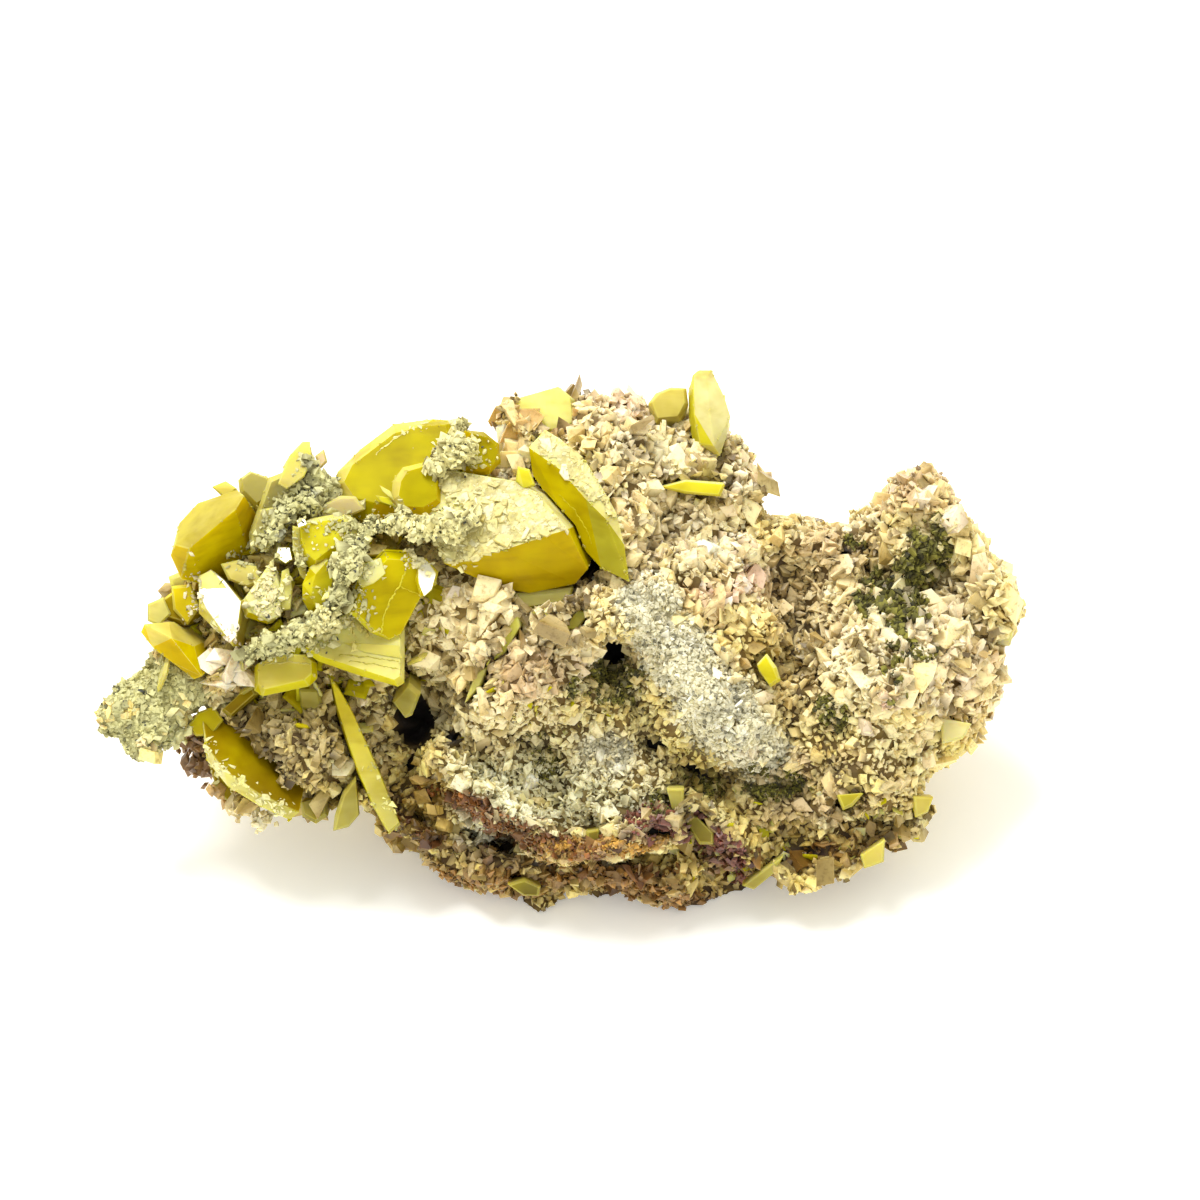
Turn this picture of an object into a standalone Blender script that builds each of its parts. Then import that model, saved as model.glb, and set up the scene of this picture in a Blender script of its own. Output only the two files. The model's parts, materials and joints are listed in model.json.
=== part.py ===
"""Wulfenite specimen: a wedge of host rock with a crust of small blocky crystals, and the tabular yellow
wulfenite crystals seated in it. One unit here is one metre; the tables below are in millimetres.

Points are given on the display face, which leans back: u runs to the right, v up the face and w out of it,
so a crystal's outline is the outline that is seen from in front of the face. `to_world` turns them into
X right, Y back, Z up, with Z = 0 on the flat that the specimen rests on.
"""

import math
import random

import bmesh
import bpy
from mathutils import Matrix, Vector, noise

MM = 0.001
FACE_LEAN = math.radians(45)  # the display face leans back this far from upright
FACE_HEIGHT = 22.8  # height of the display face's origin above the resting flat

LUMP_VOXEL = 0.95  # grid of the remesh that melts the lumps together
ROUGH_VOXEL = 0.8  # grid of the remesh that closes up the roughened rock
ROCK_TRIANGLES = 1640  # the bare rock, before its crystals
SEAT_GAP = 0.3  # clearance between a wulfenite crystal and its seat in the rock

DRUSE_COUNT = 80  # blocky crystals fused to the rock
DRUSE_HALF_SIZE = (1.0, 1.8)
DRUSE_SUNK = 0.3  # how deep a druse crystal's middle lies, as a share of its half-size
RHOMB_SHEAR = 0.22
SEED = 7

ROCK_COLOUR = (0.56, 0.47, 0.38)
GANGUE_COLOUR = (0.52, 0.52, 0.38)
GOLD = (0.72, 0.53, 0.03)
LEMON = (0.80, 0.72, 0.16)
OLIVE = (0.55, 0.50, 0.16)

# Lumps that make up the host rock: centre u, v, w, the half-sizes along u, v, w, and a turn in the face.
LUMPS = (
    ((0, 0, -6), (28, 19, 12), 0),
    ((3, 13, -6), (9, 12.8, 9), 0),
    ((12.5, 11, -6), (7, 12, 8), 0),
    ((-24, 4, -5), (16, 11, 9), 0),
    ((-28, -10, -5), (10, 7, 8), -15),
    ((30, -3, -6), (13, 12.5, 10), 0),
    ((24.5, 5.8, -8), (8.5, 6.8, 8), 0),
    ((34.8, 8.6, -8), (6.2, 9.4, 7), 0),
    ((42, 4.2, -6), (4.8, 4.0, 5), -20),
    ((40.5, -4, -6), (3.6, 4.5, 5), 0),
    ((29, -13.5, -6), (7.5, 8, 8), 0),
    ((13, -4, 1), (12, 4.5, 6), -45),
    ((-3, 3, 1), (10, 6, 5), 20),
    ((8, -24.0, -6), (5.5, 2.6, 4), 0),
    ((-43.4, -7.7, 0), (4.7, 5.0, 4), 0),
    ((-38.5, -3.6, 0), (4.3, 4.4, 4), 0),
    ((-35, -0.5, -2), (4, 4, 4), 0),
    ((-34.6, -3.3, 1.5), (2.5, 2.0, 2.4), 0),
    ((-39.2, 3.2, -3), (2.6, 4.6, 3), 0),
    ((-5.6, 21.6, -3), (2.6, 2.3, 3), 0),
    ((-2.8, 20.6, -3), (2.2, 2.2, 3), 0),
    ((-4.8, 18.4, -1), (1.9, 2.6, 2.5), 0),
)

# Level beds and the root of the rock: centre u, v, w, then the half-sizes along X, Y, Z.
BEDS = (
    ((0, -18.3, -4), (21, 8, 2.0), -9),
    ((24, -20.2, -5), (12, 7, 2.2), 10),
    ((5, -22.3, -7), (15, 6.5, 1.8), -12),
    ((4, -12, -12), (29, 17, 11), 0),
    ((0, 5, -19), (24, 12, 13), 0),
    ((26, -6, -14), (12, 13, 10), 0),
    ((-22, 0, -14), (13, 11, 9), 0),
)

# Remnants of the crust that covered the crystals: triangles, then each lump's centre u, v, w and half-size.
GANGUE = {
    "gangue_ridge": (400, [
        ((-9.6, 12.4, 9.4), 1.5),
        ((-11.8, 11.4, 9.8), 1.9),
        ((-14.4, 11.2, 9.4), 2.1),
        ((-17.2, 11.5, 8.8), 1.7),
        ((-19.8, 11.6, 8.6), 1.6),
        ((-21.4, 9.4, 9.4), 1.5),
        ((-22.4, 6.9, 9.6), 1.7),
        ((-23.2, 4.2, 9.4), 1.6),
        ((-24.6, 2.0, 8.6), 1.7),
        ((-26.8, 0.6, 7.8), 1.8),
        ((-29.3, -0.4, 6.8), 1.7),
        ((-31.6, -1.3, 5.8), 1.6),
    ]),
    "gangue_cap": (150, [
        ((-11.7, 18.8, 4.6), 2.4),
        ((-10.6, 21.4, 3.4), 1.4),
        ((-12.9, 17.2, 5.4), 1.5),
    ]),
    "gangue_left": (220, [
        ((-26.6, 16.6, 3.6), 2.1),
        ((-24.6, 15.2, 3.8), 1.7),
        ((-26.0, 13.6, 4.6), 2.0),
        ((-28.2, 13.0, 5.4), 1.7),
        ((-29.2, 10.8, 5.6), 1.4),
    ]),
}
GANGUE_VOXEL = 0.45

# Hollows: centre u, v, w, radius, depth.
HOLLOWS = (
    ((-14, -7.5, 5), 3.2, 5.0),
    ((4.5, -1.2, 7), 2.0, 4.0),
    ((26, 4, 2), 5.5, 4.5),
    ((-1, -10, 6), 4.0, 2.5),
    ((22, -13, 3), 4.0, 2.0),
    ((-6, -20.5, 1), 3.5, 2.0),
)


def to_world(u, v, w):
    """A point of the display face, in metres in the world."""
    y = v * math.sin(FACE_LEAN) - w * math.cos(FACE_LEAN)
    z = v * math.cos(FACE_LEAN) + w * math.sin(FACE_LEAN) + FACE_HEIGHT
    return Vector((u, y, z)) * MM


def face_rotation():
    """Turns u, v, w directions into X, Y, Z directions."""
    columns = [to_world(*axis) - to_world(0, 0, 0) for axis in ((1, 0, 0), (0, 1, 0), (0, 0, 1))]
    return Matrix([c.normalized() for c in columns]).transposed()


def clear_scene():
    for obj in list(bpy.data.objects):
        bpy.data.objects.remove(obj)


def material(name, colour, roughness):
    made = bpy.data.materials.new(name)
    made.use_nodes = True
    shader = made.node_tree.nodes["Principled BSDF"]
    shader.inputs["Base Color"].default_value = (*colour, 1.0)
    shader.inputs["Roughness"].default_value = roughness
    shader.inputs["Metallic"].default_value = 0.0
    return made


def paint(obj, colour, roughness):
    """Gives the object its own material, and only that."""
    obj.data.materials.clear()
    obj.data.materials.append(material(obj.name, colour, roughness))


def add_object(name, mesh):
    obj = bpy.data.objects.new(name, mesh)
    bpy.context.scene.collection.objects.link(obj)
    return obj


def mesh_from(bm, name):
    mesh = bpy.data.meshes.new(name)
    bm.to_mesh(mesh)
    bm.free()
    return mesh


def make_helper(obj):
    obj.hide_render = True
    obj.display_type = "WIRE"


def apply_modifiers(obj):
    """Replaces the object's mesh by what its modifiers make of it."""
    graph = bpy.context.evaluated_depsgraph_get()
    finished = bpy.data.meshes.new_from_object(obj.evaluated_get(graph))
    obj.modifiers.clear()
    obj.data = finished


def boolean(obj, other, operation):
    cut = obj.modifiers.new(operation.lower(), "BOOLEAN")
    cut.operation = operation
    cut.solver = "EXACT"
    cut.object = other
    apply_modifiers(obj)


def keep_largest_body(obj):
    """Drops the crumbs that a cut leaves."""
    bm = bmesh.new()
    bm.from_mesh(obj.data)
    left = set(bm.verts)
    bodies = []
    while left:
        body, front = set(), [left.pop()]
        while front:
            vert = front.pop()
            body.add(vert)
            near = {edge.other_vert(vert) for edge in vert.link_edges} & left
            left -= near
            front.extend(near)
        bodies.append(body)
    bodies.sort(key=len)
    crumbs = [vert for body in bodies[:-1] for vert in body]
    bmesh.ops.delete(bm, geom=crumbs, context="VERTS")
    bm.to_mesh(obj.data)
    bm.free()


# ---------------------------------------------------------------- host rock


def add_ellipsoid(bm, centre, half_sizes, rotation):
    ball = bmesh.ops.create_icosphere(bm, subdivisions=4, radius=1.0)
    scale = Matrix.Diagonal([size * MM for size in half_sizes]).to_4x4()
    place = Matrix.Translation(centre) @ rotation.to_4x4() @ scale
    bmesh.ops.transform(bm, matrix=place, verts=ball["verts"])


def melt(obj, voxel):
    """Turns whatever crosses or overlaps in the object into one closed surface."""
    remesh = obj.modifiers.new("melt", "REMESH")
    remesh.mode = "VOXEL"
    remesh.voxel_size = voxel * MM
    apply_modifiers(obj)


def melted_lumps(name, lumps, beds, voxel):
    """One closed surface round all the lumps."""
    bm = bmesh.new()
    face = face_rotation()
    for centre, half_sizes, turn in lumps:
        spin = Matrix.Rotation(math.radians(turn), 3, "Z")
        add_ellipsoid(bm, to_world(*centre), half_sizes, face @ spin)
    for centre, half_sizes, turn in beds:
        spin = Matrix.Rotation(math.radians(-turn), 3, "Y")
        add_ellipsoid(bm, to_world(*centre), half_sizes, spin)
    obj = add_object(name, mesh_from(bm, name))
    melt(obj, voxel)
    keep_largest_body(obj)
    return obj


def roughness_at(point, grain):
    """Height in millimetres of the lumps and pits at a point, for lumps of about this grain."""
    p = point / MM / grain
    broad = noise.fractal(p, 0.8, 2.0, 2)
    blocky = noise.cell(p * 2.1 + Vector((noise.noise(p * 3.0),) * 3)) - 0.5
    return 1.5 * broad + 0.9 * blocky + 0.5 * noise.noise(p * 4.3)


def roughen(obj, amount, grain, hollows=()):
    bm = bmesh.new()
    bm.from_mesh(obj.data)
    bm.normal_update()
    moves = []
    for vert in bm.verts:
        push = roughness_at(vert.co, grain) * amount
        for centre, radius, depth in hollows:
            distance = (vert.co - to_world(*centre)).length / MM
            push -= depth * math.exp(-((distance / radius) ** 2))
        moves.append(vert.normal * push * MM)
    for vert, move in zip(bm.verts, moves):
        vert.co += move
    bm.to_mesh(obj.data)
    bm.free()


def thin_out(obj, triangles):
    obj.data.update()
    obj.data.calc_loop_triangles()
    thin = obj.modifiers.new("thin", "DECIMATE")
    thin.ratio = triangles / len(obj.data.loop_triangles)
    apply_modifiers(obj)


def rhomb(half, squash):
    """A rhombohedron: a cube leaned over, then squashed along its diagonal."""
    shear = Matrix(((1, RHOMB_SHEAR, RHOMB_SHEAR), (0, 1, RHOMB_SHEAR), (0, 0, squash)))
    corners = [Vector((x, y, z)) for x in (-1, 1) for y in (-1, 1) for z in (-1, 1)]
    return [shear @ corner * half * MM for corner in corners]


def add_hull(bm, points):
    verts = [bm.verts.new(point) for point in points]
    hull = bmesh.ops.convex_hull(bm, input=verts)
    spare = {item for item in hull["geom_interior"] if isinstance(item, bmesh.types.BMVert)}
    bmesh.ops.delete(bm, geom=list(spare), context="VERTS")


def surface_samples(obj, count, rng):
    """Points spread over the rock, most of them on its display face, each with its face's normal."""
    faces = list(obj.data.polygons)
    outward = to_world(0, 0, 1) - to_world(0, 0, 0)
    outward.normalize()
    weights = [face.area * max(0.25, 1.0 + 2.0 * face.normal.dot(outward)) for face in faces]
    for face in rng.choices(faces, weights, k=count):
        corners = [obj.data.vertices[i].co for i in face.vertices[:3]]
        a, b = sorted((rng.random(), rng.random()))
        yield corners[0] * a + corners[1] * (b - a) + corners[2] * (1 - b), face.normal.copy()


def grow_druse(obj):
    """Fuses the blocky crystals that crust the rock to it."""
    rng = random.Random(SEED)
    for point, normal in list(surface_samples(obj, DRUSE_COUNT, rng)):
        half = rng.uniform(*DRUSE_HALF_SIZE)
        lean = Vector([rng.gauss(0, 0.5) for _ in range(3)])
        aim = (normal + lean).normalized().to_track_quat("Z", "Y").to_matrix()
        spin = Matrix.Rotation(rng.uniform(0, math.tau), 3, "Z")
        sunk = point - normal * half * DRUSE_SUNK * MM
        bm = bmesh.new()
        add_hull(bm, [aim @ spin @ corner + sunk for corner in rhomb(half, rng.uniform(0.6, 1.0))])
        crystal = add_object("druse_helper", mesh_from(bm, "druse_helper"))
        make_helper(crystal)
        boolean(obj, crystal, "UNION")


def level_base(obj):
    """Cuts the rock off flat at Z = 0."""
    bm = bmesh.new()
    bmesh.ops.create_cube(bm, size=1.0)
    size = Matrix.Diagonal((200 * MM, 200 * MM, 60 * MM)).to_4x4()
    bmesh.ops.transform(bm, matrix=Matrix.Translation((0, 0, -30 * MM)) @ size, verts=bm.verts)
    block = add_object("base_cutter", mesh_from(bm, "base_cutter"))
    make_helper(block)
    boolean(obj, block, "DIFFERENCE")


def host_rock():
    rock = melted_lumps("host_rock", LUMPS, BEDS, LUMP_VOXEL)
    roughen(rock, 1.0, 9.0, HOLLOWS)
    melt(rock, ROUGH_VOXEL)
    thin_out(rock, ROCK_TRIANGLES)
    grow_druse(rock)
    level_base(rock)
    keep_largest_body(rock)
    paint(rock, ROCK_COLOUR, 0.8)
    return rock


def gangue(name, triangles, lumps):
    """A rough remnant of crust lying over the crystals."""
    flattened = [(centre, (half, half * 0.85, half), 0) for centre, half in lumps]
    obj = melted_lumps(name, flattened, (), GANGUE_VOXEL)
    roughen(obj, 0.5, 2.6)
    melt(obj, GANGUE_VOXEL)
    thin_out(obj, triangles)
    paint(obj, GANGUE_COLOUR, 0.9)
    return obj


# ---------------------------------------------------------------- wulfenite


def tabular(outline, w, slope=(0.0, 0.0), thick=2.0, bevel=0.6, root=(0.0, 0.0, -4.0)):
    """Corners of a tabular crystal, from the outline of its girdle. The girdle stands w out of the face and
    leans by slope, w per u and w per v; the tables in front of it and behind it are set in by the bevel; the
    root is where the back table has sunk to in the rock."""
    middle = [sum(p[i] for p in outline) / len(outline) for i in (0, 1)]
    normal = Vector((-slope[0], -slope[1], 1.0)).normalized()
    points = []
    for u, v in outline:
        height = w + slope[0] * (u - middle[0]) + slope[1] * (v - middle[1])
        girdle = Vector((u, v, height))
        inward = Vector((middle[0] - u, middle[1] - v, w - height))
        inset = inward.normalized() * min(bevel, 0.45 * inward.length)
        front = girdle + inset + normal * thick / 2
        back = girdle + inset - normal * thick / 2 + Vector(root)
        points += [girdle, front, back]
    return points


def faceted(ridge, rim, root=(0.0, 0.0, -5.0), taper=0.8):
    """Corners of a thick crystal seen on an edge: the ridge stands proud between its two big faces."""
    corners = [Vector(p) for p in ridge + rim]
    middle = sum(corners, Vector()) / len(corners)
    back = [middle + (corner - middle) * taper + Vector(root) for corner in corners]
    return corners + back


# Each node: its colour and the crystals grown together in it.
WULFENITE = {
    "wulfenite_left_thick": (GOLD, [
        faceted(
            ridge=[(-39.3, 9.5, 5.0), (-37.8, 9.1, 6.0), (-33.2, 13.0, 6.0), (-32.4, 14.4, 5.0)],
            rim=[(-39.0, 11.7, 2.0), (-37.2, 13.7, 1.0), (-33.2, 15.0, 2.5), (-31.9, 12.0, 2.5),
                 (-32.3, 9.4, 1.5), (-33.8, 7.5, 1.0), (-36.5, 5.5, 1.5), (-38.8, 6.1, 2.5),
                 (-39.8, 8.4, 3.5)],
            root=(2.0, -1.5, -4.5)),
    ]),
    "wulfenite_crusted": (GOLD, [
        tabular(
            [(-23.9, 14.7), (-23.2, 16.8), (-20.9, 19.1), (-17.6, 21.6), (-13.7, 22.1), (-11.2, 21.9),
             (-10.0, 19.5), (-11.0, 17.0), (-15.0, 12.5), (-20.0, 11.8), (-22.5, 12.6)],
            w=1.5, slope=(0.05, -0.35), thick=3.2, bevel=1.6, root=(1.0, -2.0, -4.0)),
        tabular([(-10.6, 21.0), (-8.6, 20.8), (-7.1, 19.6), (-6.9, 17.8), (-8.1, 16.5), (-10.8, 16.6)],
                w=1.0, slope=(-0.3, -0.1), thick=2.6, bevel=0.7, root=(0.0, -1.0, -5.0)),
        faceted(
            ridge=[(-12.4, 7.6, 8.6), (-6.6, 8.9, 9.8), (-2.5, 10.3, 9.8), (-0.2, 11.0, 9.2)],
            rim=[(-14.5, 17.0, 4.0), (-11.2, 16.8, 4.5), (-8.1, 15.8, 5.0), (-5.3, 15.8, 5.2),
                 (-3.3, 14.7, 6.0),
                 (-1.7, 12.9, 7.4), (-14.6, 12.5, 5.5), (1.8, 7.1, 6.8), (0.5, 5.6, 6.2), (-4.0, 4.7, 6.0),
                 (-7.1, 5.2, 6.4), (-8.4, 7.0, 7.4)],
            root=(2.0, 0.5, -5.5)),
        tabular([(-17.6, 15.8), (-16.6, 17.2), (-14.5, 17.7), (-12.8, 16.4), (-12.6, 13.4), (-14.4, 12.2),
                 (-16.8, 12.4), (-17.8, 13.8)],
                w=5.4, slope=(-0.1, -0.25), thick=2.2, bevel=0.8, root=(1.5, 0.0, -5.0)),
    ]),
    "wulfenite_spear": (GOLD, [
        faceted(
            ridge=[(-4.1, 19.2, 3.4), (-1.0, 17.0, 5.4), (1.6, 14.0, 6.8), (3.6, 12.0, 7.4),
                   (5.9, 5.8, 7.6)],
            rim=[(-2.5, 21.0, 1.6), (-1.0, 20.1, 2.4), (1.6, 17.8, 4.0), (3.3, 15.0, 5.4), (4.6, 12.7, 6.4),
                 (5.4, 9.5, 7.0), (-3.7, 16.5, 2.6), (-2.0, 14.0, 3.8), (-0.2, 12.0, 4.8), (1.0, 9.5, 5.6),
                 (3.1, 7.2, 6.6)],
            root=(-1.0, 1.0, -5.0)),
    ]),
    "wulfenite_centre": (GOLD, [
        tabular(
            [(-18.3, 8.8), (-15.3, 8.6), (-14.4, 5.0), (-16.8, 0.5), (-18.1, -0.1), (-19.8, 0.8),
             (-21.9, 2.8),
             (-21.7, 4.2), (-20.9, 6.2)],
            w=7.0, slope=(-0.25, 0.25), thick=2.2, bevel=0.5, root=(0.0, 0.5, -4.5)),
        tabular(
            [(-26.5, -1.1), (-24.5, 1.0), (-21.9, 2.7), (-18.3, 1.6), (-16.4, 1.2), (-16.4, -4.2),
             (-17.0, -4.6),
             (-20.6, -3.6), (-22.2, -3.0), (-25.0, -2.1)],
            w=5.6, slope=(0.1, -0.45), thick=2.2, bevel=0.4, root=(0.0, 1.5, -4.5)),
        tabular([(-15.0, 7.9), (-14.2, 8.1), (-13.0, 6.8), (-13.3, 5.6), (-14.8, 4.3), (-15.3, 6.0)],
                w=8.0, slope=(0.1, -0.5), thick=1.2, bevel=0.25, root=(0.0, 0.0, -3.0)),
    ]),
    "wulfenite_block": (LEMON, [
        tabular(
            [(-31.4, -2.6), (-28.6, -1.3), (-25.9, -1.6), (-25.2, -2.3), (-25.1, -3.8), (-25.9, -4.6),
             (-30.6, -5.6),
             (-31.4, -5.0)],
            w=4.2, slope=(0.05, -0.35), thick=2.6, bevel=0.5, root=(0.0, 1.0, -4.5)),
    ]),
    "wulfenite_twin": (LEMON, [
        tabular(
            [(-27.3, 11.2), (-25.8, 12.1), (-23.5, 12.5), (-21.8, 12.4), (-20.8, 11.3), (-21.0, 10.0),
             (-22.8, 8.3),
             (-25.2, 6.8), (-26.4, 7.6), (-27.2, 9.5)],
            w=6.4, slope=(0.2, -0.2), thick=2.8, bevel=0.9, root=(0.0, 0.0, -5.0)),
        tabular(
            [(-26.5, 5.6), (-25.8, 7.2), (-24.2, 8.6), (-23.4, 6.5), (-23.5, 4.5), (-24.5, 3.0),
             (-25.8, 2.8),
             (-26.5, 4.0)],
            w=7.2, slope=(-0.4, 0.0), thick=2.0, bevel=0.7, root=(0.0, 1.0, -5.0)),
    ]),
    "wulfenite_mirror": (LEMON, [
        tabular(
            [(-37.0, 6.3), (-35.7, 7.0), (-34.0, 5.5), (-32.4, 3.6), (-32.6, 2.3), (-33.4, -0.6),
             (-35.4, 1.2),
             (-36.9, 2.7)],
            w=4.6, slope=(0.15, -0.4), thick=2.4, bevel=0.5, root=(1.0, 0.0, -4.0)),
        tabular(
            [(-32.8, 3.8), (-30.8, 5.2), (-29.2, 6.8), (-28.5, 5.0), (-28.9, 2.8), (-30.0, 1.6),
             (-32.2, 2.3)],
            w=5.4, slope=(0.0, -0.3), thick=1.6, bevel=0.4, root=(0.5, 0.0, -4.0)),
    ]),
    "wulfenite_left_crest": (OLIVE, [
        tabular([(-28.7, 17.3), (-28.0, 18.5), (-26.8, 19.8), (-25.9, 19.3), (-25.7, 16.5), (-28.2, 15.6)],
                w=0.5, slope=(-0.2, -0.2), thick=1.8, bevel=0.4, root=(1.0, -3.0, -4.0)),
        tabular([(-33.2, 16.0), (-32.0, 16.9), (-30.0, 16.2), (-29.0, 14.5), (-31.2, 13.0), (-33.0, 14.5)],
                w=0.2, slope=(0.0, -0.3), thick=1.8, bevel=0.5, root=(1.0, -3.0, -4.0)),
        tabular([(-32.0, 10.6), (-30.8, 14.0), (-30.0, 16.2), (-28.0, 17.0), (-27.4, 15.0), (-28.6, 12.0),
                 (-30.6, 9.0), (-31.8, 8.6)],
                w=2.4, slope=(-0.35, 0.1), thick=1.6, bevel=0.4, root=(1.0, -1.0, -5.0)),
    ]),
    "wulfenite_left_edge": (GOLD, [
        tabular([(-40.9, 4.0), (-39.2, 5.2), (-37.6, 4.8), (-37.4, 2.6), (-38.5, 1.4), (-40.4, 2.0)],
                w=0.8, slope=(0.3, -0.1), thick=1.8, bevel=0.5, root=(2.0, 0.0, -3.0)),
    ]),
    "wulfenite_low_left": (GOLD, [
        faceted(
            ridge=[(-42.4, 1.6, 3.6), (-39.6, 0.2, 5.0), (-36.6, -3.6, 4.6)],
            rim=[(-42.8, 0.8, 2.4), (-41.6, -0.7, 3.4), (-39.6, -2.2, 4.0), (-37.4, -3.9, 3.8),
                 (-40.0, 1.8, 2.8),
                 (-37.4, -0.6, 3.4)],
            root=(1.5, 0.6, -3.5)),
    ]),
    "wulfenite_lower_plate": (GOLD, [
        faceted(
            ridge=[(-36.2, -10.6, 2.4), (-34.5, -13.0, 2.8), (-31.0, -15.3, 2.8), (-27.0, -17.2, 2.2)],
            rim=[(-36.8, -7.6, 0.6), (-34.8, -8.2, 0.0), (-32.0, -9.6, -0.4), (-30.0, -11.4, -0.6),
                 (-28.2, -14.4, 0.2), (-36.3, -12.0, 1.6), (-34.2, -14.6, 1.6), (-31.0, -16.6, 1.6),
                 (-28.0, -18.0, 1.4)],
            root=(1.5, 1.5, -2.5)),
    ]),
    "wulfenite_long_blade": (OLIVE, [
        tabular(
            [(-23.8, -3.8), (-23.1, -4.6), (-21.8, -6.8), (-20.4, -9.9), (-18.7, -13.7), (-16.9, -18.4),
             (-18.0, -19.3), (-19.6, -16.5), (-20.9, -13.7), (-22.3, -9.9), (-23.3, -6.3)],
            w=2.8, slope=(0.0, 0.05), thick=1.2, bevel=0.3, root=(-0.6, 0.4, -3.4)),
    ]),
    "wulfenite_short_blade": (OLIVE, [
        tabular(
            [(-21.4, -13.6), (-21.0, -17.4), (-22.1, -18.7), (-23.7, -19.1), (-23.5, -17.5),
             (-22.7, -15.2)],
            w=1.0, slope=(-0.2, 0.1), thick=1.2, bevel=0.3, root=(0.0, 0.5, -3.5)),
    ]),
    "wulfenite_pale_foot": (LEMON, [
        tabular([(-27.0, -16.2), (-24.4, -15.6), (-24.2, -17.6), (-25.4, -18.4), (-26.8, -17.6)],
                w=-0.4, slope=(0.0, -0.2), thick=1.4, bevel=0.3, root=(0.5, 1.0, -3.0)),
    ]),
    "wulfenite_tucked": (OLIVE, [
        tabular([(-34.8, -7.1), (-31.8, -4.3), (-31.2, -5.4), (-33.9, -7.8)],
                w=1.0, slope=(0.1, -0.2), thick=1.2, bevel=0.25, root=(1.0, 0.5, -3.5)),
    ]),
    "wulfenite_pale_tip": (LEMON, [
        tabular([(-17.7, -6.1), (-16.0, -4.2), (-14.8, -5.2), (-15.7, -7.5), (-16.4, -7.8)],
                w=3.0, slope=(0.2, 0.2), thick=1.2, bevel=0.3, root=(0.0, 1.5, -4.5)),
    ]),
    "wulfenite_top_block": (LEMON, [
        tabular([(-6.5, 23.7), (-1.0, 25.4), (0.5, 24.1), (0.8, 21.0), (-1.7, 20.0), (-5.5, 21.0)],
                w=-4.4, slope=(0.0, -0.4), thick=3.0, bevel=0.6, root=(0.6, -1.5, -3.0)),
    ]),
    "wulfenite_tall_blade": (LEMON, [
        faceted(
            ridge=[(13.6, 26.2, -2.4), (14.2, 22.0, -0.6), (14.4, 19.4, 0.6)],
            rim=[(12.3, 26.6, -3.4), (12.9, 27.1, -3.4), (14.2, 27.1, -3.4), (15.5, 24.4, -2.6),
                 (16.1, 22.4, -2.0),
                 (15.6, 20.1, -1.0), (15.0, 18.4, 0.0), (13.0, 19.6, -0.4), (12.4, 22.6, -1.6)],
            root=(-0.8, -1.0, -2.4)),
    ]),
    "wulfenite_curved": (OLIVE, [
        tabular([(7.8, 23.7), (8.6, 24.8), (10.1, 25.4), (11.7, 25.3), (11.9, 23.6), (11.0, 22.0),
                 (8.6, 21.8)],
                w=-4.2, slope=(0.0, -0.2), thick=1.6, bevel=0.4, root=(0.0, -1.5, -3.0)),
    ]),
    "wulfenite_under_plate": (LEMON, [
        tabular([(-5.8, 4.6), (0.4, 5.2), (0.1, 3.9), (-2.8, 3.2), (-5.0, 3.0)],
                w=5.4, slope=(0.0, -0.3), thick=1.0, bevel=0.25, root=(0.0, 1.0, -3.0)),
    ]),
    "wulfenite_crest_sliver": (LEMON, [
        tabular([(9.0, 15.2), (11.4, 15.9), (15.5, 15.5), (15.0, 14.3), (11.4, 14.6)],
                w=1.9, slope=(0.0, -0.3), thick=0.9, bevel=0.2, root=(0.0, 0.5, -3.0)),
    ]),
    "wulfenite_right_sliver": (LEMON, [
        tabular([(18.6, -2.4), (19.6, -1.3), (20.6, -2.7), (21.0, -4.0), (20.0, -4.7), (18.8, -3.1)],
                w=4.6, slope=(0.3, 0.0), thick=1.0, bevel=0.25, root=(0.0, 0.0, -3.0)),
    ]),
    "wulfenite_blade_high": (LEMON, [
        tabular([(-7.7, -2.2), (-6.8, 0.5), (-5.1, 2.9), (-4.8, 1.5), (-6.4, -1.3)],
                w=6.4, slope=(0.0, 0.1), thick=0.8, bevel=0.2, root=(0.4, 0.0, -3.0)),
    ]),
    "wulfenite_blade_low": (LEMON, [
        tabular([(-10.5, -6.3), (-9.5, -3.4), (-8.1, -2.5), (-8.8, -4.5)],
                w=5.0, slope=(0.0, 0.1), thick=0.8, bevel=0.2, root=(0.4, 0.0, -3.0)),
    ]),
    "wulfenite_mid_sliver": (LEMON, [
        tabular([(-0.8, 1.0), (0.8, 3.1), (2.1, 2.7), (0.6, 0.9)],
                w=6.6, slope=(0.1, -0.1), thick=0.8, bevel=0.2, root=(0.0, 0.0, -3.0)),
    ]),
}

# Crystals that stopped against a neighbour: each is cut back to clear the one named.
GROWN_AGAINST = {
    "wulfenite_spear": "wulfenite_crusted",
    "wulfenite_mirror": "wulfenite_left_thick",
    "wulfenite_left_crest": "wulfenite_left_thick",
    "wulfenite_low_left": "wulfenite_left_edge",
}

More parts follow.
